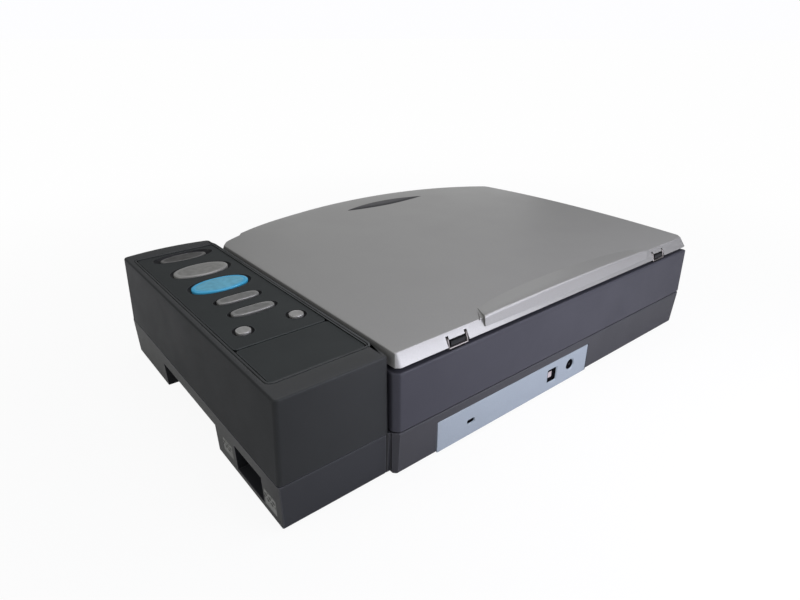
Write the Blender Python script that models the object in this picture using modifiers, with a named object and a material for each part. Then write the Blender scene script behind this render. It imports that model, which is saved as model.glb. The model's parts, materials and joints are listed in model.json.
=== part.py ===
"""Flatbed scanner with a book edge, a control module at its right end and a lid on two wire bails.

Metres, +Z up. X runs along the length with the control module at +X, Y runs from the book edge (-Y)
to the hinges and sockets (+Y), and the origin is at the middle of the footprint, on the floor.
"""

import math

import bmesh
import bpy
from mathutils import Matrix, Vector

# Gaps and cuts
GAP = 0.0003
SLIDE_GAP = 0.0004
TILT_ROOM = 0.0008
OVERRUN = 0.0040
MERGE = 0.00001

# Overall form
LENGTH = 0.4540
DEPTH = 0.3137
FOOT_DROP = 0.0020
BASE_HEIGHT = 0.0338
BODY_HEIGHT = 0.0456
MODULE_HEIGHT = 0.0588
WALL = 0.0026
EDGE_ROUND = 0.0012

RIGHT = LENGTH / 2
LEFT = -LENGTH / 2
REAR = DEPTH / 2
LID_NOSE = -DEPTH / 2
BASE_Z = FOOT_DROP
SPLIT_Z = BASE_Z + BASE_HEIGHT
BODY_TOP = SPLIT_Z + BODY_HEIGHT
MODULE_TOP = SPLIT_Z + MODULE_HEIGHT
SPLIT_GAP = 0.0004

# Control module at the right end
MODULE_WIDTH = 0.0812
MODULE_SHORTFALL = 0.0325
MODULE_SET_BACK = 0.0052
MODULE_BOW = 0.0045
MODULE_SEAM = 0.0012
MODULE_TOP_WALL = 0.0040
END_LEAN_TOP = 0.0028
END_LEAN_BASE = 0.0009
MODULE_LEFT = RIGHT - MODULE_WIDTH
MODULE_REAR = REAR - MODULE_SET_BACK
MODULE_DEPTH = DEPTH - MODULE_SHORTFALL
MODULE_FRONT = MODULE_REAR - MODULE_DEPTH

# Main body
BODY_RIGHT = MODULE_LEFT - MODULE_SEAM
LID_OVERHANG = 0.0425
BOOK_LEAN = 0.0280
LEFT_LEAN_BODY = 0.0011
LEFT_LEAN_BASE = 0.0020
REAR_LEAN_BASE = 0.0011
CORNER_CHAMFER = 0.0039
BODY_TOP_WALL = 0.0045
BOOK_EDGE = LID_NOSE + LID_OVERHANG
BODY_MID_X = (LEFT + BODY_RIGHT) / 2

# Arch and lock pocket in the base, under the control module
ARCH_REAR_SHARE = 0.3417
ARCH_FRONT_SHARE = 0.7219
ARCH_ROOF = 0.0120
POCKET_REAR = 0.0250
POCKET_FRONT = 0.0640
POCKET_ROOF = 0.0095
POCKET_FLOOR = 0.0300
POCKET_DEPTH = 0.0200
LOCK_WIDTH = 0.0140
LOCK_DEPTH = 0.0070
LOCK_GRIP_WIDTH = 0.0040
LOCK_GRIP_DEPTH = 0.0035

# Platen glass
GLASS_END_MARGIN = 0.0328
GLASS_REAR_MARGIN = 0.0482
GLASS_THICK = 0.0028
GLASS_DROP = 0.0002
GLASS_LEDGE = 0.0035
BOOK_RIM = 0.0030
STRIP_WIDTH = 0.0120
STRIP_THICK = 0.0006

# Control panel and its buttons, from the module's right side and rear
PANEL_INSET_RIGHT = 0.0095
PANEL_INSET_LEFT = 0.0026
PANEL_REAR_SHARE = 0.2329
PANEL_FRONT_MARGIN = 0.0147
PANEL_THICK = 0.0016
PANEL_DROP = 0.0007
PANEL_CORNER = 0.0030
LABEL_REAR = 0.0185
BUTTON_MID = 0.0460
BUTTON_PAIR_HALF = 0.0200
BIG_BUTTON_LENGTH = 0.0452
BIG_BUTTON_WIDTH = 0.0262
DARK_BUTTON_LENGTH = 0.0400
DARK_BUTTON_WIDTH = 0.0160
SLIM_BUTTON_LENGTH = 0.0325
SLIM_BUTTON_WIDTH = 0.0112
ROUND_BUTTON_WIDTH = 0.0102
BUTTON_RISE = 0.0009
DARK_BUTTON_SINK = 0.0006
BUTTON_CAP = 0.0030
BUTTON_EDGE = 0.0006
BUTTON_STEM = 0.0060
BUTTON_TRAVEL = 0.0015
DARK_BUTTON_SHARE = 0.8997
GREY_BUTTON_SHARE = 0.7521
BLUE_BUTTON_SHARE = 0.6124
SLIM_FRONT_SHARE = 0.4943
SLIM_REAR_SHARE = 0.4054
ROUND_PAIR_SHARE = 0.3094
BUTTON_PLACES = (
    (
        "dark_button",
        0.0,
        DARK_BUTTON_SHARE * MODULE_DEPTH,
        DARK_BUTTON_LENGTH,
        DARK_BUTTON_WIDTH,
        -DARK_BUTTON_SINK,
    ),
    (
        "grey_button",
        0.0,
        GREY_BUTTON_SHARE * MODULE_DEPTH,
        BIG_BUTTON_LENGTH,
        BIG_BUTTON_WIDTH,
        BUTTON_RISE,
    ),
    (
        "blue_button",
        0.0,
        BLUE_BUTTON_SHARE * MODULE_DEPTH,
        BIG_BUTTON_LENGTH,
        BIG_BUTTON_WIDTH,
        BUTTON_RISE,
    ),
    (
        "slim_button_front",
        0.0,
        SLIM_FRONT_SHARE * MODULE_DEPTH,
        SLIM_BUTTON_LENGTH,
        SLIM_BUTTON_WIDTH,
        BUTTON_RISE,
    ),
    (
        "slim_button_rear",
        0.0,
        SLIM_REAR_SHARE * MODULE_DEPTH,
        SLIM_BUTTON_LENGTH,
        SLIM_BUTTON_WIDTH,
        BUTTON_RISE,
    ),
    (
        "round_button_left",
        -BUTTON_PAIR_HALF,
        ROUND_PAIR_SHARE * MODULE_DEPTH,
        ROUND_BUTTON_WIDTH,
        ROUND_BUTTON_WIDTH,
        BUTTON_RISE,
    ),
    (
        "round_button_right",
        BUTTON_PAIR_HALF,
        ROUND_PAIR_SHARE * MODULE_DEPTH,
        ROUND_BUTTON_WIDTH,
        ROUND_BUTTON_WIDTH,
        BUTTON_RISE,
    ),
)
BOARD_THICK = 0.0016
BOARD_DROP = 0.0190
BOARD_MARGIN = 0.0080
SWITCH_SIDE = 0.0060
SWITCH_HEIGHT = 0.0040
RIB_THICK = 0.0020
RIB_FRONT_SHARE = 0.8286
RIB_REAR_SHARE = 0.2703

# Lid
LID_GAP = 0.0034
LID_EDGE_TOP = 0.0124
LID_CROWN = 0.0040
CROWN_FALL = 1.5
LID_WALL = 0.0022
LID_REAR_INSET = 0.0007
LID_REAR_LEAN = 0.0048
LID_SIDE_LEAN = 0.0025
LID_LEFT_INSET = 0.0009
LID_MODULE_GAP = 0.0025
LID_BOW = 0.0420
LID_COLUMNS = 14
LID_ROWS = 6
SPINE_REAR_INSET = 0.0017
SPINE_TO_BAIL = 0.0223
SPINE_TOP = 0.0154
SPINE_FOOT = 0.0101
SPINE_REACH = 0.0160
SPINE_BOW = 0.0090
SPINE_ROOT = 0.0115
BADGE_LENGTH = 0.0980
BADGE_WIDTH = 0.0200
BADGE_THICK = 0.0012
BADGE_TO_NOSE = 0.0440
BADGE_SHIFT = 0.0130
BADGE_POCKET = 0.0010
PAD_MARGIN = 0.0040
SHEET_THICK = 0.0010

# Wire bails and what holds them
BAIL_INSET = 0.0555
BAIL_HALF = 0.0086
WIRE_RADIUS = 0.0009
BAR_INSET = 0.0018
BAR_HEIGHT = 0.0020
KNEE_INSET = 0.0034
KNEE_HEIGHT = 0.0080
STUB_INSET = 0.0088
STUB_REACH = 0.0060
BLOCK_HALF = 0.0068
BLOCK_LENGTH = 0.0090
BLOCK_TOP = 0.0066
BLOCK_DEPTH = 0.0080
SOCKET_WIDTH = 0.0050
SOCKET_LENGTH = 0.0060
SOCKET_OFFSET = 0.0016
SOCKET_CLEARANCE = 0.0012

# Sockets on the rear of the base
PLATE_RIGHT = 0.1200
PLATE_LENGTH = 0.1788
PLATE_DROP = 0.0077
PLATE_THICK = 0.0012
USB_OFFSET = 0.1233
USB_Z = 0.0172
USB_WIDTH = 0.0122
USB_HEIGHT = 0.0112
USB_LENGTH = 0.0160
USB_WALL = 0.0016
TONGUE_WIDTH = 0.0056
TONGUE_HEIGHT = 0.0030
JACK_OFFSET = 0.1487
JACK_WIDTH = 0.0100
JACK_LENGTH = 0.0130
JACK_BORE = 0.0032
JACK_RIM = 0.0042
JACK_PIN = 0.0010
JACK_COLLAR = 0.0036
SLOT_OFFSET = 0.0309
SLOT_LENGTH = 0.0070
SLOT_HEIGHT = 0.0030
SLOT_DROP = 0.0190
MAIN_BOARD_DEPTH = 0.0700
MAIN_BOARD_MARGIN = 0.0080
POST_SIDE = 0.0060

# Carriage and its drive
CARRIAGE_LENGTH = 0.0560
CARRIAGE_FRONT_MARGIN = 0.0252
CARRIAGE_REAR_MARGIN = 0.0028
CARRIAGE_HEIGHT = 0.0350
CARRIAGE_DROP = 0.0018
CARRIAGE_WALL = 0.0020
CARRIAGE_HOME_GAP = 0.0070
COVER_THICK = 0.0015
SLIT_WIDTH = 0.0140
LAMP_RADIUS = 0.0015
LAMP_DROP = 0.0060
LAMP_SHIFT = 0.0130
REFLECTOR_WALL = 0.0008
REFLECTOR_RADIUS = 0.0045
REFLECTOR_LIP = 0.0011
MIRROR_THICK = 0.0020
MIRROR_HEIGHT = 0.0140
MIRROR_INSET = 0.0100
MIRROR_DROP = 0.0105
UPPER_MIRROR_LEAN = 45
LOWER_MIRROR_LEAN = -38
LENS_RADIUS = 0.0070
LENS_LENGTH = 0.0120
LENS_WAIST = 0.0056
LENS_BAND = 0.0030
SENSOR_BOARD_WIDTH = 0.0700
ROD_RADIUS = 0.0030
ROD_DROP = 0.0062
ROD_INSET = 0.0390
BUSHING_LENGTH = 0.0100
BUSHING_WIDTH = 0.0120
BUSHING_HEIGHT = 0.0110
PULLEY_RADIUS = 0.0060
PULLEY_RIM = 0.0075
PULLEY_HEIGHT = 0.0070
PULLEY_LIP = 0.0010
PULLEY_BORE = 0.0015
BELT_WIDTH = 0.0040
BELT_THICK = 0.0012
BELT_INSET = 0.0790
BELT_DROP = 0.0110
PULLEY_INSET_RIGHT = 0.0140
PULLEY_INSET_LEFT = 0.0260
CLAMP_LENGTH = 0.0120
CLAMP_WIDTH = 0.0050
MOTOR_RADIUS = 0.0175
IDLER_BASE = 0.0100
RAIL_WIDTH = 0.0080
RAIL_INSET = 0.0230
SHOE_LENGTH = 0.0160
SHOE_HEIGHT = 0.0040
FLEX_WIDTH = 0.0200
FLEX_THICK = 0.0008
FLEX_LENGTH = 0.0750
FLEX_INSET = 0.0180

# Feet
FOOT_RADIUS = 0.0080
FOOT_SEAT = 0.0012
FOOT_INSET_X = 0.0240
FOOT_INSET_REAR = 0.0220
FOOT_INSET_FRONT = 0.0200

# Sides and steps of round shapes, and angles in degrees
SMALL_SIDES = 16
ROD_SIDES = 20
ROUND_SIDES = 28
OVAL_SIDES = 36
CORNER_STEPS = 4
ARC_STEPS = 12
MODULE_COLUMNS = 6
SPINE_COLUMNS = 8
QUARTER = 90
BEVEL_ANGLE = 40
SMOOTH_ANGLE = 35
HALF_SHARE = 0.5

# Directions, and the pieces that move together
ALONG = (1.0, 0.0, 0.0)
BACK = (0.0, 1.0, 0.0)
UP = (0.0, 0.0, 1.0)
LID_PIECES = ("lid_shell", "lid_badge", "pad_sheet", "pad_foam", "bail_socket_left", "bail_socket_right")
CARRIAGE_PIECES = (
    "carriage_tray",
    "carriage_cover",
    "scan_lamp",
    "lamp_reflector",
    "mirror_upper",
    "mirror_lower",
    "scan_lens",
    "sensor_board",
    "rod_bushing_left",
    "rod_bushing_right",
    "belt_clamp",
    "glide_shoe",
)


def make_collection(name):
    collection = bpy.data.collections.new(name)
    bpy.context.scene.collection.children.link(collection)
    return collection


for old in list(bpy.data.objects):
    bpy.data.objects.remove(old, do_unlink=True)
PARTS = make_collection("flatbed_scanner")
CUTTERS = make_collection("cutters")


def material(name, colour, roughness, metallic=0.0, transmission=0.0):
    made = bpy.data.materials.new(name)
    made.use_nodes = True
    shader = made.node_tree.nodes["Principled BSDF"]
    shader.inputs["Base Color"].default_value = (*colour, 1.0)
    shader.inputs["Roughness"].default_value = roughness
    shader.inputs["Metallic"].default_value = metallic
    shader.inputs["Transmission Weight"].default_value = transmission
    return made


CHARCOAL = material("charcoal_plastic", (0.045, 0.047, 0.050), 0.55)
BLACK = material("black_plastic", (0.015, 0.015, 0.016), 0.50)
PANEL_GREY = material("panel_plastic", (0.038, 0.042, 0.045), 0.60)
SILVER = material("silver_paint", (0.270, 0.270, 0.262), 0.42, 0.35)
BUTTON_SILVER = material("button_silver", (0.330, 0.330, 0.320), 0.38, 0.30)
BUTTON_GREY = material("button_grey", (0.210, 0.205, 0.185), 0.40)
BUTTON_BLUE = material("button_blue", (0.090, 0.420, 0.680), 0.35)
BUTTON_DARK = material("button_dark", (0.060, 0.056, 0.052), 0.25)
PLATE_BLUE = material("port_plate_paint", (0.350, 0.400, 0.470), 0.50)
GLASS = material("platen_glass", (0.860, 0.900, 0.890), 0.03, 0.0, 1.0)
STEEL = material("bright_steel", (0.620, 0.600, 0.570), 0.25, 1.0)
WHITE = material("white_sheet", (0.800, 0.800, 0.790), 0.50)
FOAM = material("grey_foam", (0.250, 0.250, 0.250), 0.90)
RUBBER = material("foot_rubber", (0.020, 0.020, 0.020), 0.80)
BOARD = material("circuit_board", (0.020, 0.140, 0.060), 0.45)
MIRROR = material("front_mirror", (0.900, 0.900, 0.900), 0.02, 1.0)
LAMP = material("lamp_tube", (0.900, 0.900, 0.880), 0.20)
BRASS = material("bushing_brass", (0.600, 0.430, 0.180), 0.35, 1.0)
FLEX = material("flex_cable", (0.700, 0.700, 0.680), 0.50)


def new_object(name, mesh, finish, collection=None):
    """An object of this mesh, among the parts unless another collection is named."""
    obj = bpy.data.objects.new(name, mesh)
    (collection or PARTS).objects.link(obj)
    if finish is not None:
        mesh.materials.append(finish)
    else:
        obj.hide_render = True
        obj.display_type = "WIRE"
    return obj


def cutter_object(name, mesh):
    return new_object(name, mesh, None, CUTTERS)


def placed_block(name, low, high, finish, place=None, columns=1):
    """A box between two corners, cut into columns along X, whose points place() may then move.

    place takes the point and its shares (u, v, w) of the box and returns the new point.
    """
    low, high = Vector(low), Vector(high)
    mesh = bpy.data.meshes.new(name)
    bm = bmesh.new()
    bmesh.ops.create_cube(bm, size=1.0)
    if columns > 1:
        along = [e for e in bm.edges if abs(e.verts[0].co.x - e.verts[1].co.x) > abs(e.verts[0].co.y)]
        bmesh.ops.subdivide_edges(bm, edges=along, cuts=columns - 1, use_grid_fill=True)
    middle = (low + high) / 2
    half = Vector((1.0, 1.0, 1.0)) / 2
    for vertex in bm.verts:
        share = vertex.co + half
        point = Vector([a + (b - a) * s for a, b, s in zip(low, high, share)])
        vertex.co = (place(point, share) if place else point) - middle
    if place:
        bmesh.ops.triangulate(bm, faces=bm.faces)
    bm.to_mesh(mesh)
    bm.free()
    obj = new_object(name, mesh, finish) if finish else cutter_object(name, mesh)
    obj.location = middle
    return obj


def block(name, low, high, finish, rounding=0.0, segments=2):
    obj = placed_block(name, low, high, finish)
    if rounding:
        rounded(obj, rounding, segments)
    return obj


def cut_box(name, low, high):
    return placed_block(name, low, high, None)


def rounded(obj, width, segments=2):
    bevel = obj.modifiers.new("rounded_edges", "BEVEL")
    bevel.width = width
    bevel.segments = segments
    bevel.limit_method = "ANGLE"
    bevel.angle_limit = math.radians(BEVEL_ANGLE)


def boolean(obj, other, operation):
    step = obj.modifiers.new(f"{operation.lower()}_{other.name}", "BOOLEAN")
    step.operation = operation
    step.object = other
    step.solver = "MANIFOLD"


def cut(obj, *others):
    for other in others:
        boolean(obj, other, "DIFFERENCE")


def join(obj, *others):
    for other in others:
        boolean(obj, other, "UNION")


def smooth(obj):
    obj.data.shade_smooth()
    obj.data.set_sharp_from_angle(angle=math.radians(SMOOTH_ANGLE))


def barrel(name, radius, length, middle, axis, finish, sides=ROUND_SIDES, stretch=1.0):
    """A cylinder about an axis, or an oval one when stretch is not 1."""
    mesh = bpy.data.meshes.new(name)
    bm = bmesh.new()
    bmesh.ops.create_cone(
        bm, cap_ends=True, segments=sides, radius1=radius, radius2=radius, depth=length
    )
    bmesh.ops.scale(bm, vec=(1.0, stretch, 1.0), verts=bm.verts)
    bm.to_mesh(mesh)
    bm.free()
    obj = new_object(name, mesh, finish) if finish else cutter_object(name, mesh)
    turn = Vector((0.0, 0.0, 1.0)).rotation_difference(Vector(axis))
    obj.matrix_world = Matrix.Translation(middle) @ turn.to_matrix().to_4x4()
    if finish:
        smooth(obj)
    return obj


def turned(name, profile, middle, finish, sides=ROUND_SIDES):
    """A shape turned about Z: profile is (radius, height) from the top, down its outer side."""
    mesh = bpy.data.meshes.new(name)
    bm = bmesh.new()
    points = [bm.verts.new((radius, 0.0, height)) for radius, height in profile]
    for first, second in zip(points, points[1:]):
        bm.edges.new((first, second))
    bm.to_mesh(mesh)
    bm.free()
    obj = new_object(name, mesh, finish) if finish else cutter_object(name, mesh)
    obj.location = middle
    screw = obj.modifiers.new("turned", "SCREW")
    screw.steps = sides
    screw.render_steps = sides
    screw.use_merge_vertices = True
    screw.merge_threshold = MERGE
    screw.use_smooth_shade = False
    return obj


def to_mesh(curve_object, finish):
    """The curve as a mesh object of the same name and place, with its caps welded."""
    bpy.context.view_layer.update()
    evaluated = curve_object.evaluated_get(bpy.context.evaluated_depsgraph_get())
    mesh = bpy.data.meshes.new_from_object(evaluated)
    bm = bmesh.new()
    bm.from_mesh(mesh)
    bmesh.ops.remove_doubles(bm, verts=bm.verts, dist=MERGE)
    bmesh.ops.recalc_face_normals(bm, faces=bm.faces)
    bm.to_mesh(mesh)
    bm.free()
    name = curve_object.name
    matrix = curve_object.matrix_world.copy()
    bpy.data.objects.remove(curve_object, do_unlink=True)
    mesh.materials.clear()
    obj = new_object(name, mesh, finish) if finish else cutter_object(name, mesh)
    obj.name = name
    obj.matrix_world = matrix
    return obj


def plate(name, points, low, high, finish):
    """A flat outline drawn in X and Y, extruded from the height low to the height high."""
    curve = bpy.data.curves.new(name, "CURVE")
    curve.dimensions = "2D"
    curve.fill_mode = "BOTH"
    curve.extrude = (high - low) / 2
    spline = curve.splines.new("POLY")
    spline.points.add(len(points) - 1)
    for point, (x, y) in zip(spline.points, points):
        point.co = (x, y, 0.0, 1.0)
    spline.use_cyclic_u = True
    obj = bpy.data.objects.new(name, curve)
    PARTS.objects.link(obj)
    obj.location = (0.0, 0.0, (low + high) / 2)
    return to_mesh(obj, finish)


def wire(name, points, radius, finish, origin):
    """A bent wire: its points are joined by straight runs, and it turns about origin."""
    curve = bpy.data.curves.new(name, "CURVE")
    curve.dimensions = "3D"
    curve.bevel_depth = radius
    curve.bevel_resolution = 2
    curve.use_fill_caps = True
    spline = curve.splines.new("POLY")
    spline.points.add(len(points) - 1)
    for point, place in zip(spline.points, points):
        point.co = (*(Vector(place) - Vector(origin)), 1.0)
    obj = bpy.data.objects.new(name, curve)
    PARTS.objects.link(obj)
    obj.location = origin
    return to_mesh(obj, finish)


def hump(share):
    """A parabola that rises from 0 at both ends to 1 in the middle."""
    return 1 - (2 * share - 1) ** 2


def arc(centre, radius, start, end, steps):
    angles = [math.radians(start + (end - start) * i / steps) for i in range(steps + 1)]
    return [(centre[0] + radius * math.cos(a), centre[1] + radius * math.sin(a)) for a in angles]


def front_face_at(z):
    """Y of the leaning front of the main body at a height."""
    return BOOK_EDGE + BOOK_LEAN * (BODY_TOP - z) / (BODY_TOP - BASE_Z)


def left_face_at(z):
    """X of the main body's left end at a height."""
    if z >= SPLIT_Z:
        return LEFT + LEFT_LEAN_BODY * (BODY_TOP - z) / BODY_HEIGHT
    return LEFT + LEFT_LEAN_BODY + LEFT_LEAN_BASE * (SPLIT_Z - z) / BASE_HEIGHT


def rear_lean_at(z):
    return max(0.0, REAR_LEAN_BASE * (SPLIT_Z - z) / BASE_HEIGHT)


def right_face_at(z):
    """X of the module's end face at a height: it leans in above and below the split."""
    if z >= SPLIT_Z:
        return RIGHT - END_LEAN_TOP * (z - SPLIT_Z) / MODULE_HEIGHT
    return RIGHT - END_LEAN_BASE * (SPLIT_Z - z) / BASE_HEIGHT


def main_body_form(name, z0, z1, inset, right, finish=None):
    """The main body's outer form between two heights, every side moved in by inset."""

    def place(point, share):
        z = point.z
        point.x = right if share.x > HALF_SHARE else left_face_at(z) + inset
        if share.y > HALF_SHARE:
            point.y = REAR - rear_lean_at(z) - inset
        else:
            point.y = front_face_at(z) + inset
        return point

    return placed_block(name, (LEFT, BOOK_EDGE, z0), (right, REAR, z1), finish, place)


def module_form(name, z0, z1, inset, left, finish=None):
    """The module's outer form between two heights, with its bowed front, moved in by inset."""

    def place(point, share):
        z = point.z
        right = right_face_at(z) - inset
        point.x = left + (right - left) * share.x
        if share.y > HALF_SHARE:
            point.y = MODULE_REAR - rear_lean_at(z) - inset
        else:
            point.y = MODULE_FRONT - MODULE_BOW * hump(share.x) + inset
        return point

    low = (left, MODULE_FRONT, z0)
    return placed_block(name, low, (RIGHT, MODULE_REAR, z1), finish, place, MODULE_COLUMNS)


def chamfer_cutter(name, z0, z1):
    """Takes the corner off the main body where it stands proud of the module."""
    points = [
        (BODY_RIGHT - CORNER_CHAMFER - OVERRUN, REAR + OVERRUN),
        (BODY_RIGHT + OVERRUN, REAR - CORNER_CHAMFER - OVERRUN),
        (BODY_RIGHT + OVERRUN, REAR + OVERRUN),
    ]
    return plate(name, points, z0, z1, None)


def bail_middles():
    return (("left", LEFT + BAIL_INSET), ("right", BODY_RIGHT - BAIL_INSET))


def foot_places():
    return (
        ("left_rear", LEFT + FOOT_INSET_X, REAR - FOOT_INSET_REAR),
        ("left_front", LEFT + FOOT_INSET_X, front_face_at(BASE_Z) + FOOT_INSET_FRONT),
        ("right_rear", RIGHT - FOOT_INSET_X, MODULE_REAR - FOOT_INSET_REAR),
        ("right_front", RIGHT - FOOT_INSET_X, MODULE_FRONT + FOOT_INSET_FRONT),
    )


# Places that several pieces share
GLASS_TOP = BODY_TOP - GLASS_DROP
GLASS_BOTTOM = GLASS_TOP - GLASS_THICK
GLASS_FRONT = BOOK_EDGE + BOOK_RIM
GLASS_REAR = REAR - GLASS_REAR_MARGIN
GLASS_LEFT = LEFT + GLASS_END_MARGIN
GLASS_RIGHT = BODY_RIGHT - GLASS_END_MARGIN
LID_BOTTOM = BODY_TOP + LID_GAP
LID_TOP = BODY_TOP + LID_EDGE_TOP
LID_CEILING = LID_TOP - LID_WALL
BAR_Y = REAR - BAR_INSET
BAR_Z = BODY_TOP + BAR_HEIGHT
STUB_Y = REAR - STUB_INSET
STUB_Z = BODY_TOP + KNEE_HEIGHT
FLOOR_Z = BASE_Z + WALL
ARCH_ROOF_Z = SPLIT_Z - ARCH_ROOF
PANEL_TOP = MODULE_TOP - PANEL_DROP
PANEL_BOTTOM = PANEL_TOP - PANEL_THICK
PANEL_LEFT = MODULE_LEFT + PANEL_INSET_LEFT
PANEL_RIGHT = RIGHT - PANEL_INSET_RIGHT
PANEL_REAR = PANEL_REAR_SHARE * MODULE_DEPTH
PANEL_FRONT = MODULE_DEPTH - PANEL_FRONT_MARGIN
BUTTON_X = RIGHT - BUTTON_MID
BUTTON_BOARD_TOP = MODULE_TOP - BOARD_DROP
CARRIAGE_TOP = GLASS_BOTTOM - CARRIAGE_DROP
CARRIAGE_BOTTOM = CARRIAGE_TOP - CARRIAGE_HEIGHT
CARRIAGE_RIGHT = BODY_RIGHT - WALL - CARRIAGE_HOME_GAP
CARRIAGE_LEFT = CARRIAGE_RIGHT - CARRIAGE_LENGTH
CARRIAGE_MID_X = (CARRIAGE_LEFT + CARRIAGE_RIGHT) / 2
CARRIAGE_BACK = GLASS_REAR - CARRIAGE_REAR_MARGIN
CARRIAGE_FRONT = GLASS_FRONT + CARRIAGE_FRONT_MARGIN
CARRIAGE_MID_Y = (CARRIAGE_FRONT + CARRIAGE_BACK) / 2
ROD_Y = CARRIAGE_BACK - ROD_INSET
ROD_Z = CARRIAGE_BOTTOM - ROD_DROP
BELT_Y = CARRIAGE_BACK - BELT_INSET
BELT_Z = CARRIAGE_BOTTOM - BELT_DROP
IDLER_X = BODY_RIGHT - WALL - PULLEY_INSET_RIGHT
DRIVE_X = LEFT + WALL + PULLEY_INSET_LEFT
MAIN_BOARD_TOP = SPLIT_Z - USB_Z - USB_HEIGHT / 2 - GAP
PLATE_X1 = RIGHT - PLATE_RIGHT
PLATE_X0 = PLATE_X1 - PLATE_LENGTH
USB_X = PLATE_X1 - USB_OFFSET
JACK_X = PLATE_X1 - JACK_OFFSET
SLOT_X = PLATE_X1 - SLOT_OFFSET
PORT_Z = SPLIT_Z - USB_Z
SLOT_Z = SPLIT_Z - SLOT_DROP


def make_lower_case():
    """The base tray under both the main body and the module, with its arch and lock pocket."""
    top = SPLIT_Z - SPLIT_GAP
    case = main_body_form("lower_case", BASE_Z, top, 0.0, BODY_RIGHT, CHARCOAL)
    rounded(case, EDGE_ROUND)
    leg = module_form("case_module_half", BASE_Z, top, 0.0, MODULE_LEFT - OVERRUN)
    rounded(leg, EDGE_ROUND)
    join(case, leg)
    cut(case, chamfer_cutter("case_corner", BASE_Z - OVERRUN, SPLIT_Z))
    hollow = main_body_form("case_hollow", FLOOR_Z, SPLIT_Z + OVERRUN, WALL, BODY_RIGHT - WALL)
    module_hollow = module_form(
        "case_module_hollow", FLOOR_Z, SPLIT_Z + OVERRUN, WALL, BODY_RIGHT - WALL - OVERRUN
    )
    arch_low = (MODULE_LEFT, MODULE_REAR - ARCH_FRONT_SHARE * MODULE_DEPTH, BASE_Z - OVERRUN)
    arch_high = (RIGHT + OVERRUN, MODULE_REAR - ARCH_REAR_SHARE * MODULE_DEPTH, ARCH_ROOF_Z)
    arch_keep = cut_box(
        "arch_walls",
        (arch_low[0] - WALL, arch_low[1] - WALL, BASE_Z),
        (arch_high[0], arch_high[1] + WALL, arch_high[2] + WALL),
    )
    pocket_low = (RIGHT - POCKET_DEPTH, MODULE_REAR - POCKET_FRONT, SPLIT_Z - POCKET_FLOOR)
    pocket_high = (RIGHT + OVERRUN, MODULE_REAR - POCKET_REAR, SPLIT_Z - POCKET_ROOF)
    pocket_keep = cut_box(
        "pocket_walls",
        tuple(v - WALL for v in pocket_low),
        (pocket_high[0], pocket_high[1] + WALL, pocket_high[2] + WALL),
    )
    cut(module_hollow, arch_keep, pocket_keep)
    cut(hollow, arch_keep)
    cut(case, hollow, module_hollow)
    cut(case, cut_box("arch", arch_low, arch_high), cut_box("lock_pocket", pocket_low, pocket_high))
    plate_low = (PLATE_X0 - GAP, REAR - PLATE_THICK - GAP, BASE_Z - OVERRUN)
    plate_high = (PLATE_X1 + GAP, REAR + OVERRUN, SPLIT_Z - PLATE_DROP + GAP)
    cut(case, cut_box("plate_recess", plate_low, plate_high))
    usb_half, jack_half = USB_WIDTH / 2 + GAP, JACK_WIDTH / 2 + GAP
    for name, x, half in (("usb", USB_X, usb_half), ("jack", JACK_X, jack_half)):
        low = (x - half, REAR - WALL - REAR_LEAN_BASE - OVERRUN, PORT_Z - USB_HEIGHT / 2 - GAP)
        high = (x + half, REAR + OVERRUN, PORT_Z + USB_HEIGHT / 2 + GAP)
        cut(case, cut_box(f"{name}_window", low, high))
    cut(case, slot_cutter("case_slot", WALL + REAR_LEAN_BASE))
    seat = FOOT_SEAT + GAP
    for name, x, y in foot_places():
        middle = (x, y, BASE_Z + (seat - OVERRUN) / 2)
        cut(case, barrel(f"foot_seat_{name}", FOOT_RADIUS + GAP, seat + OVERRUN, middle, UP, None))
    for name, low, high in case_posts():
        join(case, cut_box(name, low, high))
    for name, x in rod_post_middles():
        length = POST_SIDE + 2 * OVERRUN
        cut(case, barrel(f"{name}_bore", ROD_RADIUS + GAP, length, (x, ROD_Y, ROD_Z), ALONG, None))
    return case


def slot_cutter(name, depth):
    """The narrow security slot, cut to a depth from the rear."""
    low = (SLOT_X - SLOT_LENGTH / 2, REAR - depth - OVERRUN, SLOT_Z - SLOT_HEIGHT / 2)
    high = (SLOT_X + SLOT_LENGTH / 2, REAR + OVERRUN, SLOT_Z + SLOT_HEIGHT / 2)
    return cut_box(name, low, high)


def rod_post_middles():
    half = POST_SIDE / 2
    return (
        ("rod_post_right", BODY_RIGHT - WALL - half - GAP),
        ("rod_post_left", left_face_at(SPLIT_Z) + WALL + half + GAP),
    )


def case_posts():
    """The posts that rise from the floor: two that hold the rod, and four under the main board."""
    sunk = FLOOR_Z - WALL / 2
    half = POST_SIDE / 2
    posts = []
    for name, x in rod_post_middles():
        low = (x - half, ROD_Y - POST_SIDE, sunk)
        posts.append((name, low, (x + half, ROD_Y + POST_SIDE, ROD_Z + ROD_RADIUS + half)))
    x0, x1, y0, y1 = main_board_sides()
    for i, x in enumerate((x0 + POST_SIDE, x1 - POST_SIDE)):
        for j, y in enumerate((y0 + POST_SIDE, y1 - POST_SIDE)):
            high = (x + half, y + half, MAIN_BOARD_TOP - BOARD_THICK - GAP)
            posts.append((f"board_post_{i}{j}", (x - half, y - half, sunk), high))
    return posts


def main_board_sides():
    x0 = JACK_X - MAIN_BOARD_MARGIN - JACK_WIDTH
    x1 = SLOT_X - SLOT_LENGTH - MAIN_BOARD_MARGIN
    y1 = REAR - WALL - REAR_LEAN_BASE - GAP
    return x0, x1, y1 - MAIN_BOARD_DEPTH, y1


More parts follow.
